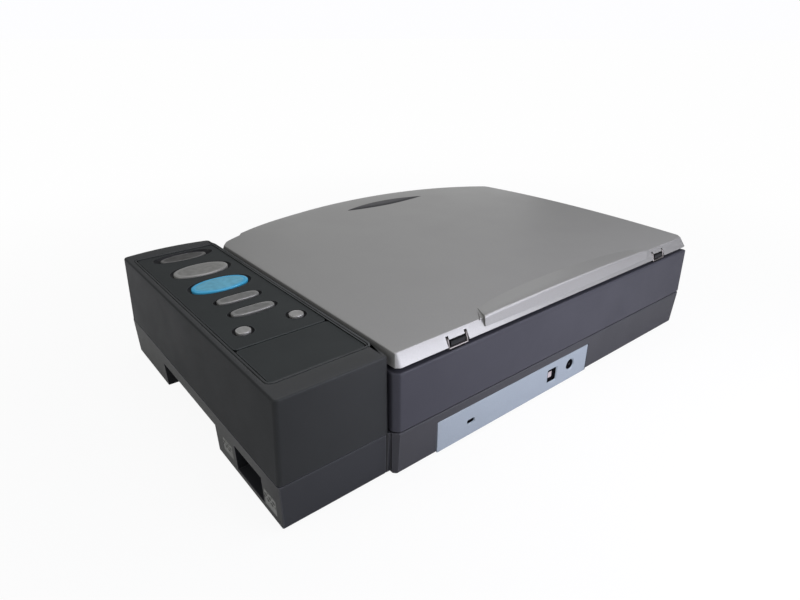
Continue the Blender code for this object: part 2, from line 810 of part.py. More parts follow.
def make_upper_housing():
    """The main body's upper shell, whose top holds the glass and the hinge blocks."""
    housing = main_body_form("upper_housing", SPLIT_Z, BODY_TOP, 0.0, BODY_RIGHT, CHARCOAL)
    rounded(housing, EDGE_ROUND)
    cut(housing, chamfer_cutter("housing_corner", SPLIT_Z - OVERRUN, BODY_TOP + OVERRUN))
    hollow = main_body_form(
        "housing_hollow", SPLIT_Z - OVERRUN, BODY_TOP - BODY_TOP_WALL, WALL, BODY_RIGHT - WALL
    )
    cut(housing, hollow)
    low = (GLASS_LEFT - GAP, GLASS_FRONT - GAP, GLASS_BOTTOM - GAP)
    high = (GLASS_RIGHT + GAP, GLASS_REAR + GAP, BODY_TOP + OVERRUN)
    cut(housing, cut_box("glass_rebate", low, high))
    under = BODY_TOP - BODY_TOP_WALL - OVERRUN
    low = (GLASS_LEFT + GLASS_LEDGE, GLASS_FRONT + GLASS_LEDGE, under)
    high = (GLASS_RIGHT - GLASS_LEDGE, GLASS_REAR - GLASS_LEDGE, BODY_TOP + OVERRUN)
    cut(housing, cut_box("glass_window", low, high))
    for name, x in bail_middles():
        wide = BLOCK_HALF + GAP
        low = (x - wide, BAR_Y - BLOCK_LENGTH - GAP, BODY_TOP - BODY_TOP_WALL - OVERRUN)
        high = (x + wide, BAR_Y + GAP, BODY_TOP + OVERRUN)
        cut(housing, cut_box(f"hinge_hole_{name}", low, high))
    return housing


def make_glass():
    low = (GLASS_LEFT, GLASS_FRONT, GLASS_BOTTOM)
    block("platen_glass", low, (GLASS_RIGHT, GLASS_REAR, GLASS_TOP), GLASS)
    inset = GLASS_LEDGE + GAP
    top = GLASS_BOTTOM - GAP
    low = (GLASS_RIGHT - inset - STRIP_WIDTH, GLASS_FRONT + inset, top - STRIP_THICK)
    block("calibration_strip", low, (GLASS_RIGHT - inset, GLASS_REAR - inset, top), WHITE)


def button_outlines(spread):
    """(name, x, y, length, width, rise) of each button, its outline grown by spread."""
    for name, shift, back, length, width, rise in BUTTON_PLACES:
        x, y = BUTTON_X + shift, MODULE_REAR - back
        yield name, x, y, length + 2 * spread, width + 2 * spread, rise


def button_barrels(kind, spread, height, z):
    """An upright oval cutter round each button."""
    for name, x, y, length, width, _ in button_outlines(spread):
        middle = (x, y, z)
        yield barrel(f"{name}_{kind}", length / 2, height, middle, UP, None, OVAL_SIDES, width / length)


def panel_outline(front, rear, spread=0.0):
    corner = PANEL_CORNER + spread
    x0, x1 = PANEL_LEFT - spread + corner, PANEL_RIGHT + spread - corner
    y0, y1 = MODULE_REAR - front - spread + corner, MODULE_REAR - rear + spread - corner
    points = []
    for turn, middle in enumerate(((x1, y1), (x0, y1), (x0, y0), (x1, y0))):
        points += arc(middle, corner, turn * QUARTER, (turn + 1) * QUARTER, CORNER_STEPS)
    return points


def make_module_housing():
    """The taller shell over the controls, with a sunk bed for the panel and its buttons."""
    housing = module_form("module_housing", SPLIT_Z, MODULE_TOP, 0.0, MODULE_LEFT, CHARCOAL)
    rounded(housing, EDGE_ROUND)
    ceiling = MODULE_TOP - MODULE_TOP_WALL
    cut(housing, module_form("module_hollow", SPLIT_Z - OVERRUN, ceiling, WALL, MODULE_LEFT + WALL))
    bed = PANEL_BOTTOM - GAP
    outline = panel_outline(PANEL_FRONT, LABEL_REAR, GAP)
    cut(housing, plate("panel_bed", outline, bed, MODULE_TOP + OVERRUN, None))
    cut(housing, *button_barrels("shaft", SLIDE_GAP, 2 * (MODULE_TOP_WALL + OVERRUN), MODULE_TOP))
    for name, back in (("front", RIB_FRONT_SHARE * MODULE_DEPTH), ("rear", RIB_REAR_SHARE * MODULE_DEPTH)):
        y = MODULE_REAR - back
        low = (MODULE_LEFT + WALL / 2, y - RIB_THICK / 2, BUTTON_BOARD_TOP + GAP)
        high = (right_face_at(MODULE_TOP) - WALL / 2, y + RIB_THICK / 2, (bed + ceiling) / 2)
        join(housing, cut_box(f"board_rib_{name}", low, high))
    return housing


def button_board_sides():
    y0 = MODULE_REAR - PANEL_FRONT + BOARD_MARGIN
    y1 = MODULE_REAR - PANEL_REAR + BOARD_MARGIN
    return PANEL_LEFT + BOARD_MARGIN, PANEL_RIGHT - BOARD_MARGIN, y0, y1


def make_panel():
    """The control panel round the buttons, and the shorter plate behind it."""
    outline = panel_outline(PANEL_FRONT, PANEL_REAR + GAP)
    panel = plate("control_panel", outline, PANEL_BOTTOM, PANEL_TOP, PANEL_GREY)
    cut(panel, *button_barrels("hole", SLIDE_GAP, PANEL_THICK + 2 * OVERRUN, PANEL_TOP))
    outline = panel_outline(PANEL_REAR, LABEL_REAR)
    plate("label_plate", outline, PANEL_BOTTOM, PANEL_TOP, PANEL_GREY)


def make_buttons():
    """Each button: an oval cap on a square stem that ends just over its switch."""
    finishes = {"dark": BUTTON_DARK, "grey": BUTTON_GREY, "blue": BUTTON_BLUE}
    foot = BUTTON_BOARD_TOP + SWITCH_HEIGHT + BUTTON_TRAVEL + GAP
    half = BUTTON_STEM / 2
    for name, x, y, length, width, rise in button_outlines(0.0):
        middle = (x, y, PANEL_TOP + rise - BUTTON_CAP / 2)
        finish = finishes.get(name.split("_")[0], BUTTON_SILVER)
        cap = barrel(name, length / 2, BUTTON_CAP, middle, UP, finish, OVAL_SIDES, width / length)
        rounded(cap, BUTTON_EDGE)
        join(cap, cut_box(f"{name}_stem", (x - half, y - half, foot), (x + half, y + half, middle[2])))


def make_button_board():
    x0, x1, y0, y1 = button_board_sides()
    low = (x0, y0, BUTTON_BOARD_TOP - BOARD_THICK)
    board = block("button_board", low, (x1, y1, BUTTON_BOARD_TOP), BOARD)
    half = SWITCH_SIDE / 2
    for name, x, y, *_ in button_outlines(0.0):
        low = (x - half, y - half, BUTTON_BOARD_TOP - BOARD_THICK / 2)
        high = (x + half, y + half, BUTTON_BOARD_TOP + SWITCH_HEIGHT)
        join(board, cut_box(f"{name}_switch", low, high))


def lid_surface(u, v):
    """A point of the lid's top at shares u of its length and v of its depth, from its front edge."""
    left = left_face_at(BODY_TOP) + LID_LEFT_INSET + LID_SIDE_LEAN
    right = MODULE_LEFT - LID_MODULE_GAP - LID_SIDE_LEAN
    front = LID_NOSE + LID_SIDE_LEAN + LID_BOW * (1 - hump(u))
    rear = REAR - LID_REAR_INSET - LID_REAR_LEAN
    rise = LID_CROWN * hump(u) * (1 - v) ** CROWN_FALL
    return Vector((left + (right - left) * u, front + (rear - front) * v, LID_TOP + rise))


def make_lid_shell():
    """The lid: a crowned top whose front bows out, with a leaning skirt round it."""
    mesh = bpy.data.meshes.new("lid_shell")
    bm = bmesh.new()
    bmesh.ops.create_grid(bm, x_segments=LID_COLUMNS, y_segments=LID_ROWS, size=HALF_SHARE)
    for vertex in bm.verts:
        vertex.co = lid_surface(vertex.co.x + HALF_SHARE, vertex.co.y + HALF_SHARE)
    border = [e for e in bm.edges if e.is_boundary]
    skirt = bmesh.ops.extrude_edge_only(bm, edges=border)
    for item in skirt["geom"]:
        if isinstance(item, bmesh.types.BMVert):
            item.co = skirt_foot(item.co)
    bmesh.ops.recalc_face_normals(bm, faces=bm.faces)
    bm.to_mesh(mesh)
    bm.free()
    lid = new_object("lid_shell", mesh, SILVER)
    shell = lid.modifiers.new("wall", "SOLIDIFY")
    shell.thickness = LID_WALL
    shell.offset = -1.0
    shell.use_even_offset = True
    join(lid, make_spine())
    for name, x in bail_middles():
        cut(lid, *bail_openings(name, x))
    floor = badge_top() - BADGE_POCKET
    cut(lid, plate("badge_pocket", badge_outline(GAP), floor, badge_top() + OVERRUN, None))
    return lid


def skirt_foot(point):
    """Where the skirt under a point of the lid's border ends: further out, and lower."""
    left, right = lid_surface(0, 0).x, lid_surface(1, 0).x
    share = (point.x - left) / (right - left)
    foot = Vector((point.x, point.y, LID_BOTTOM))
    if point.x - left < GAP:
        foot.x -= LID_SIDE_LEAN
    if right - point.x < GAP:
        foot.x += LID_SIDE_LEAN
    if lid_surface(share, 1).y - point.y < GAP:
        foot.y += LID_REAR_LEAN
    elif point.y - lid_surface(share, 0).y < GAP:
        foot.y -= LID_SIDE_LEAN
    return foot


def bail_openings(name, x):
    """The cuts in the lid's rear edge that one bail and its hinge block stand in."""
    back = STUB_Y - SOCKET_LENGTH / 2 - GAP
    low = (x - BAIL_HALF, back, LID_BOTTOM - OVERRUN)
    high = (x + BAIL_HALF, REAR + OVERRUN, BODY_TOP + BLOCK_TOP + SLIDE_GAP + TILT_ROOM)
    openings = [cut_box(f"lid_window_{name}", low, high)]
    half = WIRE_RADIUS + SLIDE_GAP
    for side, middle in (("left", x - BAIL_HALF), ("right", x + BAIL_HALF)):
        low = (middle - half, back, LID_BOTTOM - OVERRUN)
        high = (middle + half, REAR + OVERRUN, STUB_Z + half + TILT_ROOM)
        openings.append(cut_box(f"lid_slot_{name}_{side}", low, high))
    return openings


def make_spine():
    """The raised grip along the lid's rear edge, between the bails."""
    left, right = (x for _, x in bail_middles())
    rear = REAR - SPINE_REAR_INSET

    def place(point, share):
        if share.y > HALF_SHARE:
            point.y = rear
            point.z = BODY_TOP + (SPINE_TOP if share.z > HALF_SHARE else SPINE_FOOT)
        else:
            point.y = rear - SPINE_REACH - SPINE_BOW * hump(share.x)
            point.z = LID_TOP + GAP if share.z > HALF_SHARE else BODY_TOP + SPINE_ROOT
        return point

    low = (left + SPINE_TO_BAIL, rear - SPINE_REACH, BODY_TOP)
    high = (right - SPINE_TO_BAIL, rear, LID_TOP)
    return placed_block("lid_spine", low, high, None, place, SPINE_COLUMNS)


def badge_middle():
    return BODY_MID_X - BADGE_SHIFT, LID_NOSE + BADGE_TO_NOSE


def badge_top():
    x, y = badge_middle()
    left, right = lid_surface(0, 0).x, lid_surface(1, 0).x
    u = (x - left) / (right - left)
    front, rear = lid_surface(u, 0).y, lid_surface(u, 1).y
    return lid_surface(u, (y - front) / (rear - front)).z


def badge_outline(spread):
    """A lens: two arcs that meet at its ends."""
    x, y = badge_middle()
    half, rise = BADGE_LENGTH / 2 + spread, BADGE_WIDTH / 2 + spread
    radius = (half * half + rise * rise) / (2 * rise)
    reach = math.degrees(math.asin(half / radius))
    upper = arc((x, y + rise - radius), radius, QUARTER - reach, QUARTER + reach, ARC_STEPS)
    lower = arc((x, y - rise + radius), radius, -QUARTER - reach, -QUARTER + reach, ARC_STEPS)
    return upper + lower[1:-1]


def make_lid_parts():
    """The badge set into the lid's top, and the pad that presses the page to the glass."""
    floor = badge_top() - BADGE_POCKET + GAP
    plate("lid_badge", badge_outline(0.0), floor, floor + BADGE_THICK, BLACK)
    x0, x1 = GLASS_LEFT - PAD_MARGIN, GLASS_RIGHT + PAD_MARGIN
    y0, y1 = GLASS_FRONT + GAP, GLASS_REAR + PAD_MARGIN
    sheet_top = BODY_TOP + GAP + SHEET_THICK
    block("pad_sheet", (x0, y0, BODY_TOP + GAP), (x1, y1, sheet_top), WHITE)
    block("pad_foam", (x0, y0, sheet_top + GAP), (x1, y1, LID_CEILING - GAP), FOAM)
    for name, x in bail_middles():
        make_bail_socket(name, x)


def make_bail_socket(name, x):
    """The bearing under the lid's ceiling that both ends of one bail turn in."""
    inner = BAIL_HALF + WIRE_RADIUS + SOCKET_OFFSET
    outer = inner + SOCKET_WIDTH
    back, front = STUB_Y + SOCKET_LENGTH / 2, STUB_Y - SOCKET_LENGTH / 2
    floor = STUB_Z - WIRE_RADIUS - GAP - SOCKET_OFFSET / 2
    roof = LID_CEILING - GAP
    low = (x - outer, front - SOCKET_LENGTH, floor)
    socket = block(f"bail_socket_{name}", low, (x + outer, back - SOCKET_CLEARANCE, roof), BLACK)
    low = (x - inner, front, floor - OVERRUN)
    cut(socket, cut_box(f"socket_room_{name}", low, (x + inner, back + OVERRUN, roof + OVERRUN)))
    length = 2 * outer + OVERRUN
    cut(socket, small_bore(f"socket_bore_{name}", WIRE_RADIUS, length, (x, STUB_Y, STUB_Z)))


def small_bore(name, radius, length, middle):
    """A running bore along X for a wire or a pin."""
    return barrel(name, radius + GAP, length, middle, ALONG, None, SMALL_SIDES)


def make_bails():
    """Each bail: a bar on the body, two bent arms and two stubs that turn in the lid."""
    knee_y, knee_z = REAR - KNEE_INSET, BODY_TOP + KNEE_HEIGHT
    for name, x in bail_middles():
        inner, outer = x - BAIL_HALF, x - BAIL_HALF - STUB_REACH
        points = [(outer, STUB_Y, STUB_Z), (inner, STUB_Y, STUB_Z), (inner, knee_y, knee_z)]
        points.append((inner, BAR_Y, BAR_Z))
        points += [(2 * x - px, py, pz) for px, py, pz in reversed(points)]
        bail = wire(f"bail_{name}", points, WIRE_RADIUS, STEEL, (x, BAR_Y, BAR_Z))
        smooth(bail)


def make_hinge_blocks():
    for name, x in bail_middles():
        low = (x - BLOCK_HALF, BAR_Y - BLOCK_LENGTH, BODY_TOP - BLOCK_DEPTH)
        hinge = block(f"hinge_block_{name}", low, (x + BLOCK_HALF, BAR_Y, BODY_TOP + BLOCK_TOP), BLACK)
        length = 2 * (BLOCK_HALF + OVERRUN)
        cut(hinge, small_bore(f"bar_groove_{name}", WIRE_RADIUS, length, (x, BAR_Y, BAR_Z)))


def make_ports():
    """The plate on the rear of the base, with its openings, and the two sockets behind it."""
    thin = REAR - PLATE_THICK
    low, high = (PLATE_X0, thin, BASE_Z), (PLATE_X1, REAR, SPLIT_Z - PLATE_DROP)
    port_plate = block("port_plate", low, high, PLATE_BLUE)
    wide, tall = USB_WIDTH / 2 + GAP, USB_HEIGHT / 2 + GAP
    low = (USB_X - wide, thin - OVERRUN, PORT_Z - tall)
    cut(port_plate, cut_box("plate_usb_hole", low, (USB_X + wide, REAR + OVERRUN, PORT_Z + tall)))
    middle = (JACK_X, REAR, PORT_Z)
    cut(port_plate, barrel("plate_jack_hole", JACK_RIM + GAP, 2 * OVERRUN, middle, BACK, None))
    cut(port_plate, slot_cutter("plate_slot", PLATE_THICK))
    make_usb_socket()
    make_power_jack()


def make_usb_socket():
    """A square socket shell with a mouth at the rear and a tongue inside."""
    face = REAR - PLATE_THICK / 2
    back = face - USB_LENGTH + 2 * USB_WALL
    wide, tall = USB_WIDTH / 2, USB_HEIGHT / 2
    low = (USB_X - wide, face - USB_LENGTH, PORT_Z - tall)
    socket = block("usb_socket", low, (USB_X + wide, face, PORT_Z + tall), STEEL)
    wide, tall = wide - USB_WALL, tall - USB_WALL
    low = (USB_X - wide, back, PORT_Z - tall)
    cut(socket, cut_box("usb_mouth", low, (USB_X + wide, face + OVERRUN, PORT_Z + tall)))
    wide, tall = TONGUE_WIDTH / 2, TONGUE_HEIGHT / 2
    low = (USB_X - wide, back - USB_WALL / 2, PORT_Z - tall)
    join(socket, cut_box("usb_tongue", low, (USB_X + wide, face - USB_WALL, PORT_Z + tall)))


def make_power_jack():
    """A round socket on a square body, with a collar through the plate and a centre pin."""
    inner = REAR - PLATE_THICK - 2 * GAP
    wide, tall = JACK_WIDTH / 2, USB_HEIGHT / 2
    low = (JACK_X - wide, inner - JACK_LENGTH, PORT_Z - tall)
    jack = block("power_jack", low, (JACK_X + wide, inner, PORT_Z + tall), BLACK)
    middle = (JACK_X, REAR - JACK_COLLAR / 2, PORT_Z)
    join(jack, barrel("jack_collar", JACK_RIM, JACK_COLLAR, middle, BACK, None))
    depth = JACK_LENGTH - USB_WALL
    middle = (JACK_X, REAR - (depth - OVERRUN) / 2, PORT_Z)
    cut(jack, barrel("jack_bore", JACK_BORE, depth + OVERRUN, middle, BACK, None))
    middle = (JACK_X, REAR - PLATE_THICK - (depth + USB_WALL) / 2, PORT_Z)
    join(jack, barrel("jack_pin", JACK_PIN, depth, middle, BACK, None, SMALL_SIDES))


def make_main_board():
    x0, x1, y0, y1 = main_board_sides()
    block("main_board", (x0, y0, MAIN_BOARD_TOP - BOARD_THICK), (x1, y1, MAIN_BOARD_TOP), BOARD)


def make_carriage():
    """The scan carriage: a tray with its lamp, mirrors, lens and sensor, under a slit cover."""
    wall = CARRIAGE_WALL
    top = CARRIAGE_TOP - COVER_THICK - GAP
    low = (CARRIAGE_LEFT, CARRIAGE_FRONT, CARRIAGE_BOTTOM)
    tray = block("carriage_tray", low, (CARRIAGE_RIGHT, CARRIAGE_BACK, top), BLACK)
    high = (CARRIAGE_RIGHT - wall, CARRIAGE_BACK - wall, top + OVERRUN)
    cut(tray, cut_box("tray_hollow", tuple(v + wall for v in low), high))
    low = (CARRIAGE_LEFT, CARRIAGE_FRONT, top + GAP)
    cover = block("carriage_cover", low, (CARRIAGE_RIGHT, CARRIAGE_BACK, CARRIAGE_TOP), BLACK)
    slit = SLIT_WIDTH / 2
    low = (CARRIAGE_MID_X - slit, CARRIAGE_FRONT + 2 * wall, top - OVERRUN)
    high = (CARRIAGE_MID_X + slit, CARRIAGE_BACK - 2 * wall, CARRIAGE_TOP + OVERRUN)
    cut(cover, cut_box("cover_slit", low, high))
    inside = CARRIAGE_BACK - CARRIAGE_FRONT - 2 * (wall + GAP)
    make_lamp(inside)
    upper = (CARRIAGE_LEFT + MIRROR_INSET, CARRIAGE_MID_Y, top - MIRROR_DROP)
    make_mirror("mirror_upper", upper, UPPER_MIRROR_LEAN, inside)
    lower = (CARRIAGE_MID_X - wall, CARRIAGE_MID_Y, CARRIAGE_BOTTOM + wall + MIRROR_HEIGHT / 2)
    make_mirror("mirror_lower", lower, LOWER_MIRROR_LEAN, inside)
    make_sensor()


def make_sensor():
    """The sensor board on the tray's end wall, and the lens in front of it."""
    floor = CARRIAGE_BOTTOM + CARRIAGE_WALL + GAP
    right = CARRIAGE_RIGHT - CARRIAGE_WALL - GAP
    half = SENSOR_BOARD_WIDTH / 2
    low = (right - BOARD_THICK, CARRIAGE_MID_Y - half, floor)
    high = (right, CARRIAGE_MID_Y + half, floor + 2 * LENS_RADIUS + CARRIAGE_WALL)
    block("sensor_board", low, high, BOARD)
    end = LENS_LENGTH / 2
    band = end - LENS_BAND
    profile = (
        (0.0, end),
        (LENS_RADIUS, end),
        (LENS_RADIUS, band),
        (LENS_WAIST, band),
        (LENS_WAIST, -band),
        (LENS_RADIUS, -band),
        (LENS_RADIUS, -end),
        (0.0, -end),
    )
    middle = (low[0] - GAP - end, CARRIAGE_MID_Y, floor + LENS_RADIUS)
    lens = turned("scan_lens", profile, middle, BLACK, ROD_SIDES)
    lens.rotation_euler = (0.0, math.radians(QUARTER), 0.0)


def make_lamp(length):
    """The lamp tube, and the half-round trough behind it that is open towards the slit."""
    x, z = CARRIAGE_MID_X + LAMP_SHIFT, CARRIAGE_TOP - LAMP_DROP
    middle = (x, CARRIAGE_MID_Y, z)
    barrel("scan_lamp", LAMP_RADIUS, length, middle, BACK, LAMP, SMALL_SIDES)
    trough = barrel("lamp_reflector", REFLECTOR_RADIUS, length, middle, BACK, STEEL, ROD_SIDES)
    bore = REFLECTOR_RADIUS - REFLECTOR_WALL
    cut(trough, barrel("reflector_bore", bore, length + OVERRUN, middle, BACK, None, ROD_SIDES))
    reach = 2 * REFLECTOR_RADIUS
    low = (x - reach, CARRIAGE_MID_Y - length, z - REFLECTOR_LIP)
    high = (x + REFLECTOR_LIP, CARRIAGE_MID_Y + length, z + reach)
    cut(trough, cut_box("reflector_mouth", low, high))


def make_mirror(name, middle, lean, length):
    half = (MIRROR_THICK / 2, length / 2, MIRROR_HEIGHT / 2)
    mirror = block(name, [-h for h in half], half, MIRROR)
    mirror.location = middle
    mirror.rotation_euler = (0.0, math.radians(lean), 0.0)


def make_drive():
    """The guide rod, its bushings, and the belt with its motor and two pulleys."""
    (_, post_right), (_, post_left) = rod_post_middles()
    length = post_right - post_left + POST_SIDE - 2 * GAP
    middle = ((post_right + post_left) / 2, ROD_Y, ROD_Z)
    barrel("guide_rod", ROD_RADIUS, length, middle, ALONG, STEEL, ROD_SIDES)
    make_bushing("left", CARRIAGE_LEFT + BUSHING_LENGTH)
    make_bushing("right", CARRIAGE_RIGHT - BUSHING_LENGTH)
    make_pulley("drive_pulley", DRIVE_X)
    make_pulley("idler_pulley", IDLER_X)
    make_belt()
    make_belt_clamp()
    make_motor()
    make_idler_bracket()
    make_glide()


def make_bushing(name, x):
    """A block under the carriage that runs on the guide rod."""
    long, wide, roof = BUSHING_LENGTH / 2, BUSHING_WIDTH / 2, CARRIAGE_BOTTOM - GAP
    low = (x - long, ROD_Y - wide, roof - BUSHING_HEIGHT)
    bushing = block(f"rod_bushing_{name}", low, (x + long, ROD_Y + wide, roof), BRASS)
    length = BUSHING_LENGTH + OVERRUN
    bore = barrel(
        f"bushing_bore_{name}", ROD_RADIUS + GAP, length, (x, ROD_Y, ROD_Z), ALONG, None, ROD_SIDES
    )
    cut(bushing, bore)


def make_pulley(name, x):
    bore, half, lip = PULLEY_BORE + GAP, PULLEY_HEIGHT / 2, PULLEY_HEIGHT / 2 - PULLEY_LIP
    profile = (
        (bore, half),
        (PULLEY_RIM, half),
        (PULLEY_RIM, lip),
        (PULLEY_RADIUS, lip),
        (PULLEY_RADIUS, -lip),
        (PULLEY_RIM, -lip),
        (PULLEY_RIM, -half),
        (bore, -half),
        (bore, half),
    )
    turned(name, profile, (x, BELT_Y, BELT_Z), BLACK)


def belt_loop(radius):
    """The outline of a band round both pulleys."""
    right = arc((IDLER_X, BELT_Y), radius, -QUARTER, QUARTER, ARC_STEPS)
    left = arc((DRIVE_X, BELT_Y), radius, -QUARTER, QUARTER, ARC_STEPS)
    return right + [(2 * DRIVE_X - x, y) for x, y in reversed(left)]


def make_belt():
    inner = PULLEY_RADIUS + GAP
    half = BELT_WIDTH / 2
    belt = plate("drive_belt", belt_loop(inner + BELT_THICK), BELT_Z - half, BELT_Z + half, RUBBER)
    low, high = BELT_Z - half - OVERRUN, BELT_Z + half + OVERRUN
    cut(belt, plate("belt_inside", belt_loop(inner), low, high, None))


def make_belt_clamp():
    """The clamp under the carriage that takes one run of the belt."""
    x, y = CARRIAGE_MID_X, BELT_Y + PULLEY_RADIUS + GAP + BELT_THICK / 2
    long, wide = CLAMP_LENGTH / 2, CLAMP_WIDTH / 2
    tall = BELT_WIDTH / 2 + GAP
    low = (x - long, y - wide, BELT_Z - tall - WALL / 2)
    clamp = block("belt_clamp", low, (x + long, y + wide, CARRIAGE_BOTTOM - GAP), BLACK)
    wide = BELT_THICK / 2 + GAP
    low = (x - CLAMP_LENGTH, y - wide, BELT_Z - tall)
    cut(clamp, cut_box("clamp_groove", low, (x + CLAMP_LENGTH, y + wide, BELT_Z + tall)))


def make_motor():
    """The stepper motor that stands on the floor, with the shaft that carries the drive pulley."""
    low, high = FLOOR_Z + GAP, BELT_Z - PULLEY_HEIGHT / 2 - GAP
    shaft_top = BELT_Z + PULLEY_HEIGHT / 2
    profile = (
        (0.0, shaft_top),
        (PULLEY_BORE, shaft_top),
        (PULLEY_BORE, high),
        (MOTOR_RADIUS, high),
        (MOTOR_RADIUS, low),
        (0.0, low),
    )
    turned("stepper_motor", profile, (DRIVE_X, BELT_Y, 0.0), STEEL)


def make_idler_bracket():
    """The stand and pin that carry the idler pulley."""
    half, high = IDLER_BASE / 2, BELT_Z - PULLEY_HEIGHT / 2 - GAP
    low = (IDLER_X - half, BELT_Y - half, FLOOR_Z + GAP)
    bracket = block("idler_bracket", low, (IDLER_X + half, BELT_Y + half, high), STEEL)
    pin_top = BELT_Z + PULLEY_HEIGHT / 2
    length = pin_top - high + half
    middle = (IDLER_X, BELT_Y, pin_top - length / 2)
    join(bracket, barrel("idler_pin", PULLEY_BORE, length, middle, UP, None, SMALL_SIDES))


def make_glide():
    """The flat rail near the book edge, and the shoe that carries the carriage on it."""
    y, half = CARRIAGE_FRONT + RAIL_INSET, RAIL_WIDTH / 2
    shoe_top = CARRIAGE_BOTTOM - GAP
    rail_top = shoe_top - SHOE_HEIGHT - GAP
    low = (left_face_at(BASE_Z) + WALL + GAP, y - half, FLOOR_Z + GAP)
    block("glide_rail", low, (BODY_RIGHT - WALL - GAP, y + half, rail_top), BLACK)
    reach = SHOE_LENGTH / 2
    low = (CARRIAGE_MID_X - reach, y - half, rail_top + GAP)
    block("glide_shoe", low, (CARRIAGE_MID_X + reach, y + half, shoe_top), WHITE)


def make_flex_cable():
    """The part of the flat cable that always lies on the floor of the case."""
    x0, _, y0, _ = main_board_sides()
    left, floor = x0 + FLEX_INSET, FLOOR_Z + GAP
    low = (left, y0 - FLEX_LENGTH, floor)
    block("flex_cable", low, (left + FLEX_WIDTH, y0 - GAP, floor + FLEX_THICK), FLEX)


def make_lock_slider():
    """The transport lock that slides to and fro at the back of its pocket."""
    x, y = RIGHT - POCKET_DEPTH + GAP, MODULE_REAR - POCKET_FRONT + WALL
    floor, roof = SPLIT_Z - POCKET_FLOOR + GAP, SPLIT_Z - POCKET_ROOF - GAP
    high = (x + LOCK_DEPTH, y + LOCK_WIDTH, roof)
    slider = block("lock_slider", (x, y, floor), high, BLACK)
    middle, half = y + LOCK_WIDTH / 2, LOCK_GRIP_WIDTH / 2
    high = (x + LOCK_DEPTH + LOCK_GRIP_DEPTH, middle + half, roof)
    join(slider, cut_box("lock_grip", (x + LOCK_DEPTH / 2, middle - half, floor), high))


def make_feet():
    for name, x, y in foot_places():
        height = FOOT_DROP + FOOT_SEAT
        barrel(f"foot_{name}", FOOT_RADIUS, height, (x, y, height / 2), UP, RUBBER)


def make_pivot(name, place, part_names):
    """An empty on a joint's axis that carries the pieces which move together there."""
    pivot = bpy.data.objects.new(name, None)
    PARTS.objects.link(pivot)
    pivot.location = place
    bpy.context.view_layer.update()
    for part_name in part_names:
        part = bpy.data.objects[part_name]
        part.parent = pivot
        part.matrix_parent_inverse = pivot.matrix_world.inverted()


make_lower_case()
make_upper_housing()
make_module_housing()
make_glass()
make_panel()
make_buttons()
make_button_board()
make_lid_shell()
make_lid_parts()
make_bails()
make_hinge_blocks()
make_ports()
make_main_board()
make_carriage()
make_drive()
make_flex_cable()
make_lock_slider()
make_feet()
make_pivot("lid_pivot", (BODY_MID_X, STUB_Y, STUB_Z), LID_PIECES)
make_pivot("carriage_runner", (CARRIAGE_MID_X, ROD_Y, ROD_Z), CARRIAGE_PIECES)
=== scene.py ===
# %% [markdown]
# # A flatbed scanner, dressed
#
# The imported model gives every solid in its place. This lesson keeps that frame, adds the pieces whose
# form is finer than a solid needs, and gives every surface a procedural finish. Lengths are in metres,
# with X to the control module, Y to the ports at the rear, and Z up.

# %% Load the frame
import json
import math

import bmesh
import bpy
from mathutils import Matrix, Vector


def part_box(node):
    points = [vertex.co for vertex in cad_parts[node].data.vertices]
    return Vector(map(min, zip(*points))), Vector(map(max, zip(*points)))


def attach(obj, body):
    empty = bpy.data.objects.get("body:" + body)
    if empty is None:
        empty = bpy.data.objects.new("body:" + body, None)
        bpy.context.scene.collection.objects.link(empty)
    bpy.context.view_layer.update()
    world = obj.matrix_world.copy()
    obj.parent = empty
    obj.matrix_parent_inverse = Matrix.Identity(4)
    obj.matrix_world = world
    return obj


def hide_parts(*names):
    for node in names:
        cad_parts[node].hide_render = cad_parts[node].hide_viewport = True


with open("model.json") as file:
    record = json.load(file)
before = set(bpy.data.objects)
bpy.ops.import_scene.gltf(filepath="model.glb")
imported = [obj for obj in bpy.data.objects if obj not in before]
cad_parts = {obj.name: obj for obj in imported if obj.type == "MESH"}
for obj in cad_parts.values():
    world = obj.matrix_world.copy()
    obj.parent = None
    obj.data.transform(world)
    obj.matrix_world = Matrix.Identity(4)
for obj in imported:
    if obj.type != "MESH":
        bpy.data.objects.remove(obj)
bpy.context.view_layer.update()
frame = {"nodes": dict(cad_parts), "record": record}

scene = bpy.context.scene
nodes = frame["nodes"]

# %% [markdown]
# ## Camera
#
# The photograph looks down on the rear right corner from about half a metre. A long shot would flatten
# the object, so the lens is short and close, as the strong perspective of the lid's edges shows. The
# place and turn were found by fitting the known corners, and no shift is needed.

# %% Camera
EYE = (0.33054, 0.39002, 0.27216)
EYE_TURN = (65.0776, -0.083, 140.9742)
LENS = 25.5256


def make_camera():
    lens = bpy.data.cameras.new("photo_camera")
    lens.lens = LENS
    lens.sensor_width = 36
    lens.clip_start = 0.01
    camera = bpy.data.objects.new("photo_camera", lens)
    camera.location = EYE
    camera.rotation_euler = [math.radians(angle) for angle in EYE_TURN]
    scene.collection.objects.link(camera)
    scene.camera = camera


make_camera()
scene.view_settings.view_transform = "Standard"
print("Camera at", EYE, "lens", LENS, "mm")

# %% [markdown]
# ## Values that can be written as sums
#
# A finish is a small calculation that runs at every point of a surface. Drawn by hand it is a web of
# boxes, which is hard to read. Here a socket is wrapped in a class with the usual operators, so that
# `1 - mask * 0.5` adds the Math nodes for it, and one method makes every other kind of node, for the
# materials and for the world.

# %% Sockets with arithmetic
def operator(operation, swapped=False):
    """An operator on a socket: it adds one Math node, with the two values swapped for a reflected form."""

    def work_out(value, other):
        return value.maths(operation, *((other, value) if swapped else (value, other)))

    return work_out


